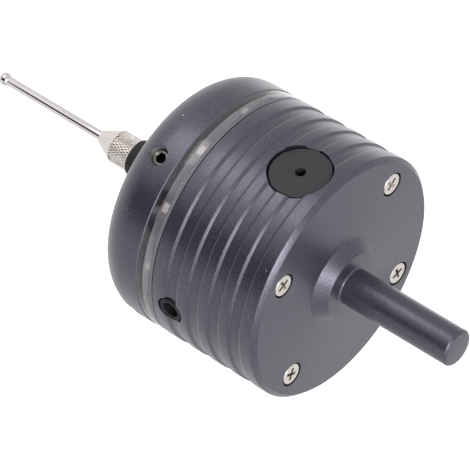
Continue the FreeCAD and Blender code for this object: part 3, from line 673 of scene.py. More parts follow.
buzzer_pocket = buzzer_radius + buzzer_gap
cutters = [along_x(rod("buzzer_cut", buzzer_pocket, buzzer_floor, past_body, 128), buzzer_height)]
cutters.append(along_x(rod("socket_cut", socket_pocket, socket_floor, past_body), socket_height, 90))
cutters += [countersink(angle) for angle in clamp_angles]
cutters += [pip("speck_cut", speck_place, speck_radius), scratch_cutter()]
carved(housing, cutters)
give_finishes(housing, anodised, fresh_metal)
for face in housing.data.polygons:
    face.material_index = 1 if in_nick(face, speck_place, speck_reach) else 0
dress(housing, None, "casing", "housing")

# %% [markdown]
# The front cap is a turned dome with a wide round. Four tapped holes for the set screws go in from
# the side. The thread shows in the hole's wall, so each cutter carries a stack of small V rings. A
# knock has left one small bright nick on the dome.

# %% Front cap with tapped holes
cap_edge = 0.2 * MM
cap_round = 7.7 * MM
cap_opening = 8.0 * MM
cap_mouth = 0.6 * MM
cap_wall = 8.4 * MM
cap_cavity = body_radius - cap_wall
cap_plate = 4.0 * MM
plate_face = cap_low.z + cap_plate
set_rise = 6.9 * MM
set_height = cap_low.z + set_rise
set_count = 4
set_angles = [27.0 + 90 * i for i in range(set_count)]
thread_pitch = 0.7 * MM
thread_depth = 0.16 * MM
tapped_crest = 0.12 * thread_pitch
tapped_root = 0.3 * thread_pitch
tapped_radius = 2.1 * MM
tapped_from = 9.0 * MM
tapped_length = 8.4 * MM
mouth_depth = 0.35 * MM
mouth_growth = 0.9 * MM
mouth_past = 0.6 * MM
nick_place = at_angle(body_radius - 0.19 * MM, 6.0, -39.6 * MM)
nick_radius = 0.17 * MM
nick_reach = 0.22 * MM


def cap_profile():
    points = [(cap_cavity, cap_high.z), (body_radius - cap_edge, cap_high.z)]
    points.append((body_radius, cap_high.z - cap_edge))
    points += arc((body_radius - cap_round, cap_low.z + cap_round), cap_round, 0, -90, 24)
    points.append((cap_opening + cap_mouth, cap_low.z))
    points.append((cap_opening, cap_low.z + cap_mouth))
    points.append((cap_opening, plate_face))
    points.append((cap_cavity, plate_face))
    return points


def tapped_cutter(angle):
    start = body_radius - tapped_from
    profile = [(0.0, start), (tapped_radius, start)]
    for i in range(int(tapped_length / thread_pitch)):
        height = start + thread_pitch * (i + 0.5)
        profile.append((tapped_radius - thread_depth, height - tapped_crest))
        profile.append((tapped_radius, height + tapped_root))
    profile.append((tapped_radius, body_radius - mouth_depth))
    profile.append((tapped_radius + mouth_growth, body_radius + mouth_past))
    profile.append((0.0, body_radius + mouth_past))
    return along_x(cutter("tapped_cut", profile), set_height, angle)


def in_a_tapped_hole(point):
    """True for a point on the wall of one of the four tapped holes."""
    for angle in set_angles:
        turn = math.radians(angle)
        along = point.x * math.cos(turn) + point.y * math.sin(turn)
        side = point.y * math.cos(turn) - point.x * math.sin(turn)
        past_cavity = along > cap_cavity + 0.05 * MM
        if past_cavity and math.hypot(side, point.z - set_height) < tapped_radius + 0.02 * MM:
            return True
    return False


def paint_rim_highlight_and_bare_metal(thing):
    """A painted highlight on the thin bevel at the ring. The threads, bare and painted lighter, and the nick
    are paler than the anodised dome.
    """
    give_finishes(thing, anodised, painted_rim_highlight, bare_thread_painted_light, fresh_metal)
    edge_reach = 0.22 * MM
    for face in thing.data.polygons:
        at_rim = from_axis(face.center) > body_radius - edge_reach
        at_edge = at_rim and face.center.z > cap_high.z - edge_reach
        # Painted highlight: the rim bevel's faces get a paler colour that stands in for the light they
        # catch.
        face.material_index = 1 if at_edge and 0.1 < face.normal.z < 0.99 else 0
        # Partly real, partly painted light: the tapped walls are bare aluminium, coloured lighter to stand
        # in for light on their shaded walls.
        if in_a_tapped_hole(face.center):
            face.material_index = 2
        if in_nick(face, nick_place, nick_reach):
            face.material_index = 3


cap = lathe("front_cap_shell", cap_profile())
carved(cap, [tapped_cutter(angle) for angle in set_angles] + [pip("nick_cut", nick_place, nick_radius)])
paint_rim_highlight_and_bare_metal(cap)
dress(cap, None, "casing", "front_cap")

# %% [markdown]
# A socket set screw: a black threaded rod with a hexagon socket. The thread is turned as V rings,
# the socket is a six-sided cutter, and the mouth gets a small bevel, painted pale as a painted
# highlight that shows as a bright ring.

# %% Set screws
set_radius = 1.95 * MM
set_length = 7.7 * MM
set_recess = 1.9 * MM
set_outer_end = body_radius - set_recess
set_face = 1.42 * MM
set_bevel_radius = 1.62 * MM
set_bevel = 0.14 * MM
set_tip_radius = 1.3 * MM
set_plain_length = 0.8 * MM
set_thread_from = 0.25 * MM
set_thread_play = 0.02 * MM
set_thread_cut = 0.3 * MM
set_crest = 0.25 * thread_pitch
set_root = 0.7 * thread_pitch
key_width = 2.0 * MM
key_depth = 2.2 * MM
key_past = 0.5 * MM
key_mouth_depth = 0.3 * MM
key_mouth_lean = 0.05 * MM
key_mouth_past = 0.1 * MM
key_mouth_radius = 0.5 * key_width
key_mouth_spread = 0.66 * key_width


def key_mouth(top):
    """A cone that bevels the mouth of the hexagon socket."""
    foot = top - key_mouth_depth
    profile = [(0.0, foot), (key_mouth_radius, foot + key_mouth_lean)]
    profile += [(key_mouth_spread, top + key_mouth_past), (0.0, top + key_mouth_past)]
    return cutter("mouth_cut", profile)


def set_screw():
    top = set_outer_end
    profile = [(0.0, top), (set_face, top), (set_bevel_radius, top - set_bevel)]
    for i in range(int((set_length - set_plain_length) / thread_pitch)):
        height = top - set_thread_from - thread_pitch * i
        profile.append((set_radius - set_thread_play, height - set_crest))
        profile.append((set_radius - set_thread_cut, height - set_root))
    profile += [(set_tip_radius, top - set_length), (0.0, top - set_length)]
    screw = lathe("set_screw", profile, 96, edge=0.02 * MM)
    give_finishes(screw, black_oxide, painted_socket_bevel)
    hexagon = rod("key_cut", key_width / math.sqrt(3), top - key_depth, top + key_past, 6)
    carved(screw, [hexagon, key_mouth(top)], 25.0)
    # Painted highlight: the outward faces of the socket's mouth bevel get a pale colour, so the bevel shows
    # as a bright ring.
    for face in screw.data.polygons:
        near_end = face.center.z > top - key_mouth_depth
        at_mouth = near_end and from_axis(face.center) > key_mouth_radius
        face.material_index = 1 if at_mouth and face.normal.z > 0.1 else 0
    return along_x(screw, set_height)


set_screws = repeated("socket_set_screws", set_screw(), set_count, set_angles[0], 25.0)
dress(set_screws, None, "casing", "cap_set_screws")

# %% [markdown]
# The light ring is turned from clear stock, with a round channel in its rear face for the light
# blocks. Looking in from the side, the eye meets the channel behind the rear half of the wall,
# where cutter marks scatter the light, and plain clear stock under it. That draws a light band
# beside a dark one. The screws' threads have marked the walls of their passages with fine ribs. The
# ring is drawn a hair thinner than it is, so that its faces keep off those of the cap and the board.

# %% Clear light ring
light_count = 12
light_first = 15.0
light_inset = 2.5 * MM
light_circle = body_radius - light_inset
light_width = 2.0 * MM
light_height = 1.9 * MM
channel_depth = 2.1 * MM
channel_room_outside = 0.3 * MM
channel_room_inside = 0.15 * MM
channel_outer = light_circle + light_width / 2 + channel_room_outside
channel_inner = light_circle - light_width / 2 - channel_room_inside
ring_width = 7.4 * MM
ring_inner = ring_high.x - ring_width
ring_passage = 5 * MM
passage_past = 1 * MM
hair = 0.01 * MM
rib_count = 10
rib_first = 0.1 * MM
rib_pitch = 0.5 * MM
rib_depth = 0.2 * MM
window_from = -8.0
window_to = -1.5


def ring_profile():
    outer = ring_high.x
    low, high = ring_low.z + hair, ring_high.z - hair
    bottom = ring_high.z - channel_depth
    points = [(ring_inner, low), (outer, low), (outer, high), (channel_outer, high)]
    points += [(channel_outer, bottom), (channel_inner, bottom), (channel_inner, high)]
    points.append((ring_inner, high))
    return points


def passages(top, deep, ribbed=False):
    """Holes for the clamp screws. In the ring the screw's thread has left its mark on the wall."""
    tools = []
    for angle in clamp_angles:
        profile = [(0.0, -deep), (clamp_hole, -deep)]
        if ribbed:
            for i in range(rib_count):
                height = -deep + rib_first + rib_pitch * i
                profile += [(clamp_hole, height), (clamp_hole + rib_depth, height + rib_pitch / 2)]
        profile += [(clamp_hole, passage_past), (0.0, passage_past)]
        tool = cutter("passage_cut", profile, 48)
        tools.append(move(tool, Matrix.Translation(at_angle(clamp_circle, angle, top))))
    return tools


def before_a_clamp_screw(point):
    """True beside a clamp screw, where the channel's wall is clear and lets the thread show."""
    angle = math.degrees(math.atan2(point.y, point.x))
    return any(window_from < angle - clamp_at < window_to for clamp_at in clamp_angles)


def frost_the_cut_faces(thing):
    """The outer wall is polished, the channel's outer wall is turned, the front face is painted dark grey as
    painted shade, and the rest is scraped or frosted.
    """
    give_finishes(thing, acrylic, frosted, scraped_acrylic, turned_acrylic, front_acrylic_painted_shade)
    middle = (ring_low.z + ring_high.z) / 2
    near_edge = 0.2 * MM
    near_wall = 0.05 * MM
    for face in thing.data.polygons:
        radius = from_axis(face.center)
        flat = abs(face.normal.z) > 0.9
        at_end = abs(face.center.z - middle) > (ring_high.z - ring_low.z) / 2 - near_edge
        if radius > ring_high.x - near_edge and not flat:
            face.material_index = 0
        elif abs(radius - channel_outer) < near_wall and not flat:
            face.material_index = 0 if before_a_clamp_screw(face.center) else 3
        elif abs(radius - channel_inner) < near_wall and before_a_clamp_screw(face.center):
            face.material_index = 0
        # Painted shade: the front face, outside the clamp windows, gets the dark grey finish that stands in
        # for the dark cap behind it.
        elif flat and at_end and face.center.z < middle:
            face.material_index = 0 if before_a_clamp_screw(face.center) else 4
        elif flat and at_end:
            face.material_index = 1
        else:
            face.material_index = 2


ring = lathe("clear_ring", ring_profile(), edge=0.05 * MM)
carved(ring, passages(ring_high.z, ring_passage, ribbed=True))
frost_the_cut_faces(ring)
dress(ring, None, "casing", "light_ring")

# %% [markdown]
# The board is a flat ring of glass epoxy. Its front face has a white solder mask that shows through
# the clear ring, its rear face toward the housing is dark, and its grey-brown cut edge shows
# between ring and housing.

# %% Board
board_hole = 5.2 * MM
board_passage = 2 * MM


def board_profile():
    outer = board_high.x
    low, high = board_low.z, board_high.z - hair
    return [(board_hole, low), (outer, low), (outer, high), (board_hole, high)]


board = lathe("light_board", board_profile(), edge=0.03 * MM)
carved(board, passages(board_high.z, board_passage))
give_finishes(board, board_epoxy, board_mask, chip_epoxy)
for board_side in board.data.polygons:
    board_side.material_index = 0
    if board_side.normal.z < -0.9:
        board_side.material_index = 1
    if board_side.normal.z > 0.9:
        board_side.material_index = 2
dress(board, None, "casing", "led_board")

# %% [markdown]
# A light block is a white moulded box with a square phosphor window and two gold pads at its foot.
# Twelve of them stand on the board's front face, in the ring's channel.

# %% Light blocks
package_round = 0.08 * MM
window_width = 0.7 * light_width
window_thick = 0.04 * MM
pad_room = 0.08 * MM
pad_thick = 0.06 * MM
pad_width = 0.6 * MM
pad_overhang = 0.3 * MM
pad_place = 0.62 * MM


def block(name, size, centre, finish, edge=0.0):
    work = bmesh.new()
    bmesh.ops.create_cube(work, size=1.0)
    bmesh.ops.scale(work, vec=size, verts=work.verts)
    bmesh.ops.translate(work, vec=centre, verts=work.verts)
    if edge:
        bmesh.ops.bevel(work, geom=work.edges[:], offset=edge, segments=2, affect="EDGES")
    made = mesh_object(name, work)
    made.data.materials.append(finish)
    return made


def light_block():
    foot = board_low.z
    size = (light_width, light_width, light_height - pad_room)
    centre = (light_circle, 0, foot - (light_height + pad_room) / 2)
    package = block("package", size, centre, led_white, package_round)
    size = (window_width, window_width, window_thick)
    centre = (light_circle, 0, foot - light_height + window_thick / 2)
    window = block("window", size, centre, phosphor)
    size = (light_width + pad_overhang, pad_width, pad_thick)
    pads = []
    for across in (-pad_place, pad_place):
        pads.append(block("pad", size, (light_circle, across, foot - pad_thick / 2), gold))
    return joined("light_block", [package, window] + pads)


lights = repeated("light_blocks", light_block(), light_count, light_first)
dress(lights, None, "casing", "leds")

# %% [markdown]
# A countersunk screw with a cross recess: the head is turned, and the recess is two tapered slots
# that cross. Four long screws clamp the whole stack, and in each the recess stopped at its own
# angle when it was tightened. A stretch of thread shows through the clear ring, and only that
# stretch is drawn.

# %% Countersunk clamp screws
head_radius = 2.35 * MM
head_edge = 0.1 * MM
head_rim = 0.25 * MM
head_dish = 0.05 * MM
dish_floor = 1.6 * MM
dish_rim = 1.95 * MM
head_sink = 0.1 * MM
screw_radius = 1.2 * MM
screw_pitch = 0.5 * MM
screw_thread = 0.24 * MM
screw_turns = 14
thread_behind_board = 2.0 * MM
screw_grip = 4.8 * MM
recess_radius = 1.55 * MM
slot_depth = 1.5 * MM
slot_past = 0.05 * MM
slot_top = (1.5 * MM, 0.34 * MM)
slot_foot = (0.55 * MM, 0.26 * MM)
recess_turns = (20.0, 62.0, 8.0, 35.0)


def slot_cutter(turn):
    """A tapered slot: long and wide at the top, short and narrow at the bottom."""
    work = bmesh.new()
    corners = []
    for height, (length, width) in ((slot_past, slot_top), (-slot_depth, slot_foot)):
        for x, y in ((-1, -1), (1, -1), (1, 1), (-1, 1)):
            corners.append(work.verts.new((x * length, y * width, height)))
    for face in ((0, 1, 2, 3), (7, 6, 5, 4), (0, 4, 5, 1), (1, 5, 6, 2), (2, 6, 7, 3), (3, 7, 4, 0)):
        work.faces.new([corners[i] for i in face])
    bmesh.ops.rotate(work, verts=work.verts, matrix=Matrix.Rotation(math.radians(turn), 3, "Z"))
    bmesh.ops.recalc_face_normals(work, faces=work.faces)
    return mesh_object("slot_cut", work)


def clamp_screw(turn):
    cone = head_radius - screw_radius
    end = cap_high.z - screw_grip - rear_face
    profile = [(0.0, -head_dish), (dish_floor, -head_dish), (dish_rim, 0.0)]
    profile += [(head_radius - head_edge, 0.0), (head_radius, -head_edge), (head_radius, -head_rim)]
    profile.append((screw_radius, -head_rim - cone))
    first_thread = board_high.z - rear_face + thread_behind_board
    for i in range(screw_turns):
        height = first_thread - screw_pitch * i
        profile += [(screw_radius, height), (screw_radius - screw_thread, height - 0.5 * screw_pitch)]
    profile += [(screw_radius, first_thread - screw_pitch * screw_turns), (screw_radius, end), (0.0, end)]
    screw = lathe("clamp_screw", profile, 72, edge=0.03 * MM)
    carved(screw, [slot_cutter(turn), slot_cutter(turn + 90)], 25.0)
    give_finishes(screw, head_nickel, recess_painted_shade)
    # Painted shade: the faces inside the cross recess get a darker nickel that stands in for the shade in
    # the recess.
    for face in screw.data.polygons:
        in_recess = -slot_depth - 0.1 * MM < face.center.z < -head_dish - 0.01 * MM
        face.material_index = 1 if in_recess and from_axis(face.center) < recess_radius else 0
    return screw


clamp_pieces = []
for clamp_at, recess_turn in zip(clamp_angles, recess_turns):
    place = at_angle(clamp_circle, clamp_at, rear_face - head_sink)
    clamp_pieces.append(move(clamp_screw(recess_turn), Matrix.Translation(place)))
clamps = joined("cross_recess_screws", clamp_pieces)
dress(clamps, None, "casing", "clamp_screws")

# %% [markdown]
# The buzzer is a moulded disc with a small sound hole. It sits a little below the turned surface,
# and a dark gap runs round it.

# %% Buzzer
buzzer_face = buzzer_high.x
buzzer_back = buzzer_low.x
buzzer_bevel = 0.25 * MM
sound_hole = 1.1 * MM
sound_hole_depth = 2.6 * MM


def buzzer_profile():
    points = [(0.0, buzzer_back), (buzzer_radius, buzzer_back)]
    points += [(buzzer_radius, buzzer_face - buzzer_bevel), (buzzer_radius - buzzer_bevel, buzzer_face)]
    points += [(sound_hole, buzzer_face), (sound_hole, buzzer_face - sound_hole_depth)]
    points.append((0.0, buzzer_face - sound_hole_depth))
    return points


buzzer = along_x(lathe("buzzer_disc", buzzer_profile(), 128, edge=0.08 * MM), buzzer_height)
dress(buzzer, black_abs, "casing", "buzzer")

# %% [markdown]
# The socket is a moulded block with a round nose, which has a fine groove round its face. A union
# joins block and nose, and the plug's hole is then cut deep into both.

# %% Socket
nose_end = socket_high.y
nose_reach = 4.65 * MM
nose_radius = 2.8 * MM
nose_bevel = 0.15 * MM
nose_overlap = 1 * MM
block_end = nose_end - nose_reach
block_inner = socket_low.y
block_width = 6.0 * MM
block_round = 0.15 * MM
face_groove = 0.1 * MM
face_groove_lean = 0.05 * MM
face_groove_outer = 2.4 * MM
face_groove_inner = 2.15 * MM
plug_radius = 1.8 * MM
plug_depth = 14 * MM


def nose_profile():
    foot = block_end - nose_overlap
    points = [(0.0, foot), (nose_radius, foot), (nose_radius, nose_end - nose_bevel)]
    points += [(nose_radius - nose_bevel, nose_end), (face_groove_outer, nose_end)]
    points.append((face_groove_outer - face_groove_lean, nose_end - face_groove))
    points.append((face_groove_inner + face_groove_lean, nose_end - face_groove))
    points += [(face_groove_inner, nose_end), (0.0, nose_end)]
    return points


def plug_hole_profile():
    mouth = 0.1 * MM
    points = [(0.0, nose_end - plug_depth), (plug_radius, nose_end - plug_depth)]
    points += [(plug_radius, nose_end - mouth), (plug_radius + 2 * mouth, nose_end + mouth)]
    points.append((0.0, nose_end + mouth))
    return points


def socket_piece():
    size = (block_width, block_end - block_inner, socket_high.z - socket_low.z)
    centre = (0, (block_end + block_inner) / 2, (socket_high.z + socket_low.z) / 2)
    body = block("socket_body", size, centre, black_nylon, block_round)
    nose = along_x(lathe("socket_nose", nose_profile(), 96, edge=0.03 * MM), socket_height, 90)
    union = body.modifiers.new("join", "BOOLEAN")
    union.operation = "UNION"
    union.object = nose
    bpy.context.view_layer.update()
    baked(body)
    bpy.data.objects.remove(nose, do_unlink=True)
    hole = along_x(cutter("plug_hole", plug_hole_profile()), socket_height, 90)
    return carved(body, [hole])


socket = socket_piece()
dress(socket, black_nylon, "casing", "jack_socket")

# %% [markdown]
# The collet nut has a smooth nose cone and a diamond knurl. A knurling tool presses two sets of
# crossing V grooves into the metal, so the height at any point is set by whichever groove is
# nearer. Geometry Nodes can say exactly that: two slanted coordinates, a triangle wave of each,
# and the smaller of the two pushes the surface inward. The tops of the diamonds stay flat, because
# the tool isn't pressed in to its full depth.

# %% A tree that presses a diamond knurl
FLAT_TOP = 0.8
SKIN_FROM = 3.0 * MM


def knurl_tree():
    tree = new_tree("diamond_knurl", Geometry="Geometry", Low="Float", High="Float", Teeth="Float",
                    Pitch="Float", Depth="Float", Finish="Material")
    given = add(tree, "NodeGroupInput")
    place = add(tree, "GeometryNodeInputPosition")
    parts = add(tree, "ShaderNodeSeparateXYZ", Vector=place.outputs[0])
    angle = add(tree, "ShaderNodeMath", {"operation": "ARCTAN2"}, i0=parts.outputs["Y"],
                i1=parts.outputs["X"])
    teeth = add(tree, "ShaderNodeMath", {"operation": "MULTIPLY"}, i0=angle.outputs[0],
                i1=given.outputs["Teeth"])
    across = add(tree, "ShaderNodeMath", {"operation": "DIVIDE"}, i0=teeth.outputs[0], i1=2 * math.pi)
    along = add(tree, "ShaderNodeMath", {"operation": "DIVIDE"}, i0=parts.outputs["Z"],
                i1=given.outputs["Pitch"])
    waves = []
    for way in ("ADD", "SUBTRACT"):
        slant = add(tree, "ShaderNodeMath", {"operation": way}, i0=across.outputs[0], i1=along.outputs[0])
        waves.append(add(tree, "ShaderNodeMath", {"operation": "PINGPONG"}, i0=slant.outputs[0], i1=0.5))
    nearer = add(tree, "ShaderNodeMath", {"operation": "MINIMUM"}, i0=waves[0].outputs[0],
                 i1=waves[1].outputs[0])
    high = add(tree, "ShaderNodeMath", {"operation": "MULTIPLY"}, i0=nearer.outputs[0], i1=2.0)
    flat_top = add(tree, "ShaderNodeMath", {"operation": "MINIMUM"}, i0=high.outputs[0], i1=FLAT_TOP)
    press = add(tree, "ShaderNodeMath", {"operation": "SUBTRACT"}, i0=flat_top.outputs[0], i1=FLAT_TOP)
    depth = add(tree, "ShaderNodeMath", {"operation": "MULTIPLY"}, i0=press.outputs[0],
                i1=given.outputs["Depth"])
    outward = add(tree, "ShaderNodeCombineXYZ", X=parts.outputs["X"], Y=parts.outputs["Y"])
    unit = add(tree, "ShaderNodeVectorMath", {"operation": "NORMALIZE"}, i0=outward.outputs[0])
    shift = add(tree, "ShaderNodeVectorMath", {"operation": "SCALE"}, i0=unit.outputs[0],
                Scale=depth.outputs[0])
    above = add(tree, "FunctionNodeCompare", {"operation": "GREATER_THAN"}, i0=parts.outputs["Z"],
                i1=given.outputs["Low"])
    below = add(tree, "FunctionNodeCompare", {"operation": "LESS_THAN"}, i0=parts.outputs["Z"],
                i1=given.outputs["High"])
    radius = add(tree, "ShaderNodeVectorMath", {"operation": "LENGTH"}, i0=outward.outputs[0])
    skin = add(tree, "FunctionNodeCompare", {"operation": "GREATER_THAN"}, i0=radius.outputs["Value"],
               i1=SKIN_FROM)
    inside = add(tree, "FunctionNodeBooleanMath", {"operation": "AND"}, i0=above.outputs[0],
                 i1=below.outputs[0])
    picked = add(tree, "FunctionNodeBooleanMath", {"operation": "AND"}, i0=inside.outputs[0],
                 i1=skin.outputs[0])
    moved = add(tree, "GeometryNodeSetPosition", Geometry=given.outputs["Geometry"],
                Selection=picked.outputs[0], Offset=shift.outputs[0])
    real = add(tree, "GeometryNodeRealizeInstances", Geometry=moved.outputs[0])
    coat = add(tree, "GeometryNodeSetMaterial", Geometry=real.outputs[0],
               Material=given.outputs["Finish"])
    add(tree, "NodeGroupOutput", Geometry=coat.outputs[0])
    return tree


knurl = knurl_tree()
print("tree made:", knurl.name)

# %% [markdown]
# The nut itself is turned. The tree can only move points that are there, so the grip is drawn in
# many fine rows, with twelve points round each tooth. Inside, a straight hole takes the spindle's
# thread, and a cone closes the collet on the stem.

# %% Collet nut
nut_radius = nut_high.x
nut_rear = nut_high.z
nut_tip = nut_low.z
nut_bevel = 0.3 * MM
nut_grip = 4.85 * MM
nut_thread = 2.05 * MM
nut_thread_length = 4.25 * MM
nut_cone_end = 8.45 * MM
tip_radius = 1.5 * MM
tip_hole = 1.12 * MM
knurl_start = 0.28 * MM
knurl_length = 4.5 * MM
knurl_rows = 66
knurl_teeth = 33
points_per_tooth = 12
knurl_lead = 1.2 * MM
knurl_depth = 0.34 * MM


def nut_profile():
    shoulder = nut_rear - nut_bevel
    points = [(nut_thread, nut_rear), (nut_radius - nut_bevel, nut_rear), (nut_radius, shoulder)]
    for i in range(1, knurl_rows):
        points.append((nut_radius, shoulder - knurl_length * i / knurl_rows))
    points += [(nut_radius, nut_rear - nut_grip), (tip_radius, nut_tip), (tip_hole, nut_tip)]
    points += [(tip_hole, nut_rear - nut_cone_end), (nut_thread, nut_rear - nut_thread_length)]
    return points


nut = lathe("knurled_nut", nut_profile(), points_per_tooth * knurl_teeth, edge=0.0)
knurling = nut.modifiers.new("knurl", "NODES")
knurling.node_group = knurl
set_inputs(knurling, Low=nut_rear - nut_bevel - knurl_length, High=nut_rear - knurl_start,
           Teeth=float(knurl_teeth), Pitch=knurl_lead, Depth=knurl_depth, Finish=nickel)
bpy.context.view_layer.update()
baked(nut, 20.0)
dress(nut, None, "nut", "collet_nut")

# %% [markdown]
# The stylus is a ground stem with a ball at its end. Both are turned profiles, and a fine mesh
# keeps their reflections clean.

# %% Stylus
stem_radius = stem_high.x
ball_radius = ball_high.x
ball_height = (ball_low.z + ball_high.z) / 2
stem_in_ball = 0.4 * ball_radius


def stem_profile():
    foot = ball_height + ball_radius - stem_in_ball
    return [(0.0, stem_high.z), (stem_radius, stem_high.z), (stem_radius, foot), (0.0, foot)]


def ball_profile():
    points = arc((0.0, ball_height), ball_radius, 90, -90, 48)
    return [(0.0, points[0][1])] + points[1:-1] + [(0.0, points[-1][1])]


stem = lathe("ground_stem", stem_profile(), 64, edge=0.03 * MM)
dress(stem, polished, "stylus", "stylus_stem")
ball = lathe("stylus_tip_ball", ball_profile(), 96, edge=0.0)
dress(ball, polished, "stylus", "stylus_ball")

# %% [markdown]
# The rubber boot keeps chips out of the seat. It grips the spindle behind the nut and widens in
# three soft folds toward the cap, so its profile is a wave with a little growth per fold.

# %% Rubber boot
neck_length = 3.1 * MM
neck_radius = 4.0 * MM
neck_hole = 2.62 * MM
fold_count = 3
fold_steps = 12
fold_pitch = 2.3 * MM
fold_swell = 1.2 * MM
fold_growth = 0.3 * MM
boot_wall = 0.7 * MM
boot_lip = 0.8 * MM


def boot_profile():
    front = boot_low.z
    neck_end = front + neck_length
    outside = [(neck_hole, front), (neck_radius, front), (neck_radius, neck_end)]
    inside = [(neck_hole, neck_end)]
    for i in range(1, fold_count * fold_steps + 1):
        fold = i / fold_steps
        height = neck_end + fold_pitch * fold
        swell = fold_swell * (0.5 - 0.5 * math.cos(2 * math.pi * fold))
        radius = neck_radius + fold_growth * fold + swell
        outside.append((radius, height))
        inside.append((radius - boot_wall, height))
    lip = neck_radius + fold_growth * fold_count + boot_lip
    outside.append((lip, boot_high.z))
    inside.append((lip - boot_wall, boot_high.z))
    return outside + inside[::-1]


boot = lathe("rubber_boot", boot_profile(), 128, edge=0.12 * MM)
dress(boot, black_rubber, "stylus", "dust_boot")

# %% [markdown]
# The return spring is wound from wire. It stands on the plunger's flange and reaches up to the
# guide. In the real finder it gets shorter as the plunger rises. Here it is drawn at rest and rides
# with the plunger.

# %% Return spring
spring_low, spring_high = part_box("return_spring")
spring_wire_radius = 0.3 * MM
spring_coil_radius = 2.65 * MM
spring_turns = 9
spring_gap = 0.02 * MM


def coil(name, low, high, around=32, across=10):
    """A round wire that climbs about the axis, with a flat cap on each end."""
    work = bmesh.new()
    rings = []
    steps = spring_turns * around
    for i in range(steps + 1):
        turn = 2 * math.pi * i / around
        height = low + (high - low) * i / steps
        ring = []
        for k in range(across):
            angle = 2 * math.pi * k / across
            radius = spring_coil_radius + spring_wire_radius * math.cos(angle)
            rise = spring_wire_radius * math.sin(angle)
            ring.append(work.verts.new((radius * math.cos(turn), radius * math.sin(turn), height + rise)))
        rings.append(ring)
    for here, there in zip(rings, rings[1:]):
        for k in range(across):
            j = (k + 1) % across
            work.faces.new((here[k], here[j], there[j], there[k]))
    work.faces.new(rings[0])
    work.faces.new(rings[-1])
    bmesh.ops.recalc_face_normals(work, faces=work.faces)
    return mesh_object(name, work, 50)


end_room = spring_wire_radius + spring_gap
spring = coil("wound_spring", spring_low.z + end_room, spring_high.z - end_room)
dress(spring, spring_wire, "plunger", "return_spring")
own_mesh(spring)

# %% [markdown]
# What stays hidden keeps its CAD shape and only gets its finish.

# %% Finishes of the inner solids
inner_finishes = {
    "buzzer_leads": tinned,
    "jack_pins": tinned,
    "board_components": chip_epoxy,
    "seat_ring": black_acetal,
    "contact_balls": polished,
    "spindle": turned_steel,
    "contact_arms": polished,
    "thrust_ball": polished,
    "collet": turned_steel,
    "spring_plunger": turned_steel,
    "spring_guide": brass,
}
for inner_node, inner_finish in inner_finishes.items():
    give_finishes(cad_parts[inner_node], inner_finish)
print("inner solids painted:", len(inner_finishes))

# %% [markdown]
# The floor lies well below the stylus tip and takes the object's shadow. It looks white to the
# camera, also through clear pieces, and greyer in reflections, which keeps the metal dark where it
# faces down. A camera that stands below the floor sees through it.

# %% Floor
floor_drop = 210 * MM
floor_height = cad_low.z - floor_drop
floor_glow = 0.6
floor_in_reflections = 0.28


def white_floor():
    finish = simple_finish("pale_floor", "#f2f2f2", 0.0, 0.9)
    tree = finish.node_tree
    path = add(tree, "ShaderNodeLightPath")
    straight = add(tree, "ShaderNodeMath", {"operation": "MAXIMUM"}, i0=path.outputs["Is Camera Ray"],
                   i1=path.outputs["Is Transmission Ray"])
    shiny = add(tree, "ShaderNodeMath", {"operation": "MULTIPLY"}, i0=path.outputs["Is Glossy Ray"],
                i1=floor_in_reflections)
    seen = add(tree, "ShaderNodeMath", {"operation": "MULTIPLY_ADD"}, i0=straight.outputs[0],
               i1=floor_glow, i2=shiny.outputs[0])
    glow = add(tree, "ShaderNodeEmission", Color=(1, 1, 1, 1), Strength=seen.outputs[0])
    both = add(tree, "ShaderNodeAddShader", i0=shader_of(finish).outputs[0], i1=glow.outputs[0])
    side = add(tree, "ShaderNodeNewGeometry")
    from_below = add(tree, "ShaderNodeMath", {"operation": "MULTIPLY"}, i0=side.outputs["Backfacing"],
                     i1=path.outputs["Is Camera Ray"])
    clear = add(tree, "ShaderNodeBsdfTransparent")
    faces = add(tree, "ShaderNodeMixShader", i0=from_below.outputs[0], i1=both.outputs[0],
                i2=clear.outputs[0])
    tree.links.new(faces.outputs[0], tree.nodes["Material Output"].inputs["Surface"])
    return finish


bpy.ops.mesh.primitive_plane_add(size=8.0, location=(0, 0, floor_height))
floor = bpy.context.object
floor.name = "floor"
floor.data.materials.append(white_floor())
print("floor", round(floor_drop / MM), "mm below the stylus")

# %% [markdown]
# The camera stands almost a metre away with a long lens, a little above the shank's side, and is
# rolled so that the axis runs down to the right. Its place was fitted to the rims of the body.

# %% Camera
camera_place = Vector((731.6, 462.5, 429.5)) * MM
camera_aim = Vector((-1.773, 2.804, -28.476)) * MM
camera_roll = -120.952
sensor = 36.0
focal_pixels = 4855.0
picture_pixels = 470.0


def make_camera():
    data = bpy.data.cameras.new("camera")
    data.sensor_width = sensor
    data.lens = focal_pixels / picture_pixels * sensor
    data.clip_start = 0.05
    data.clip_end = 20.0
    made = linked("camera", data)
    look = (camera_aim - camera_place).to_track_quat("-Z", "Y").to_matrix().to_4x4()
    roll = Matrix.Rotation(math.radians(-camera_roll), 4, "Z")
    made.matrix_world = Matrix.Translation(camera_place) @ look @ roll
    bpy.context.scene.camera = made
    return made


camera = make_camera()
bpy.context.view_layer.update()
camera_turn = camera.matrix_world.to_3x3()
picture_right = camera_turn @ Vector((1, 0, 0))
picture_up = camera_turn @ Vector((0, 1, 0))
toward_camera = camera_turn @ Vector((0, 0, 1))
print("lens", round(camera.data.lens, 1), "right", [round(v, 3) for v in picture_right])

# %% [markdown]
# Soft studio light from four soft boxes: one above the object as seen in the picture, two near the
# camera, of which one stands low, and a weak one behind. A dark card stands in for the unlit side
# of the studio. Metal looks like metal only when it has something dark to reflect, and the card
# draws the dark band along the body and the line down the stylus. The world is white to the camera
# and to anything shiny or clear.

# %% Lamps, card and world
def picture_place(right, up, near, distance):
    """A place given by its direction in the picture: right, up and toward the camera."""
    way = picture_right * right + picture_up * up + toward_camera * near
    return way.normalized() * distance


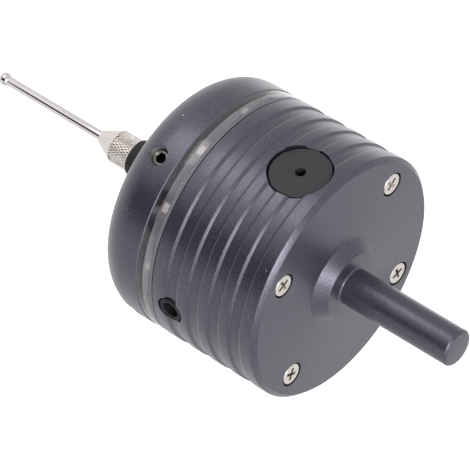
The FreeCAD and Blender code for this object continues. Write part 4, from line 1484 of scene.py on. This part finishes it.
def lamp(name, place, size, radiance):
    """A square soft box aimed at the object. The power follows from the brightness of its face."""
    data = bpy.data.lights.new(name, "AREA")
    data.size = size
    data.energy = radiance * math.pi * size * size
    made = linked(name, data)
    made.location = place
    made.rotation_euler = (-place).to_track_quat("-Z", "Y").to_euler()
    made.visible_camera = False


def dark_card(name, angle, distance, middle, width, length):
    """An upright card beside the object, parallel to its axis and facing it."""
    bpy.ops.mesh.primitive_plane_add(size=1.0)
    card = bpy.context.object
    card.name = name
    card.scale = (width, length, 1.0)
    card.location = at_angle(distance, angle, middle)
    card.rotation_euler = (math.radians(90), 0.0, math.radians(angle) - math.radians(90))
    card.visible_camera = False
    velvet = simple_finish("black_velvet", "#0c0c0e", 0.0, 1.0, Specular_IOR_Level=0.0)
    card.data.materials.append(velvet)


lamp("upper_soft_box", picture_place(-0.40, 0.757, 0.517, 0.45), size=0.18, radiance=3.2)
lamp("camera_soft_box", picture_place(0.22, -0.34, 0.91, 0.90), size=0.41, radiance=11.3)
lamp("low_soft_box", picture_place(-0.02, -0.76, 0.64, 0.90), size=0.33, radiance=3.0)
lamp("back_soft_box", picture_place(0.15, 0.47, -0.87, 0.55), size=0.40, radiance=0.8)
dark_card("left_card", angle=62.0, distance=0.25, middle=-0.16, width=0.17, length=0.29)


world_light = 0.5


def studio_world():
    world = bpy.data.worlds.new("studio")
    world.use_nodes = True
    bpy.context.scene.world = world
    tree = world.node_tree
    tree.nodes.clear()
    path = add(tree, "ShaderNodeLightPath")
    seen = add(tree, "ShaderNodeMath", {"operation": "MAXIMUM"}, i0=path.outputs["Is Camera Ray"],
               i1=path.outputs["Is Glossy Ray"])
    seen = add(tree, "ShaderNodeMath", {"operation": "MAXIMUM"}, i0=seen.outputs[0],
               i1=path.outputs["Is Transmission Ray"])
    soft = add(tree, "ShaderNodeBackground", Color=(1, 1, 1, 1), Strength=world_light)
    white = add(tree, "ShaderNodeBackground", Color=(1, 1, 1, 1), Strength=1.0)
    choice = add(tree, "ShaderNodeMixShader", i0=seen.outputs[0], i1=soft.outputs[0], i2=white.outputs[0])
    add(tree, "ShaderNodeOutputWorld", Surface=choice.outputs[0])


studio_world()
bpy.context.scene.view_settings.view_transform = "Standard"
print("lamps, card and world ready")
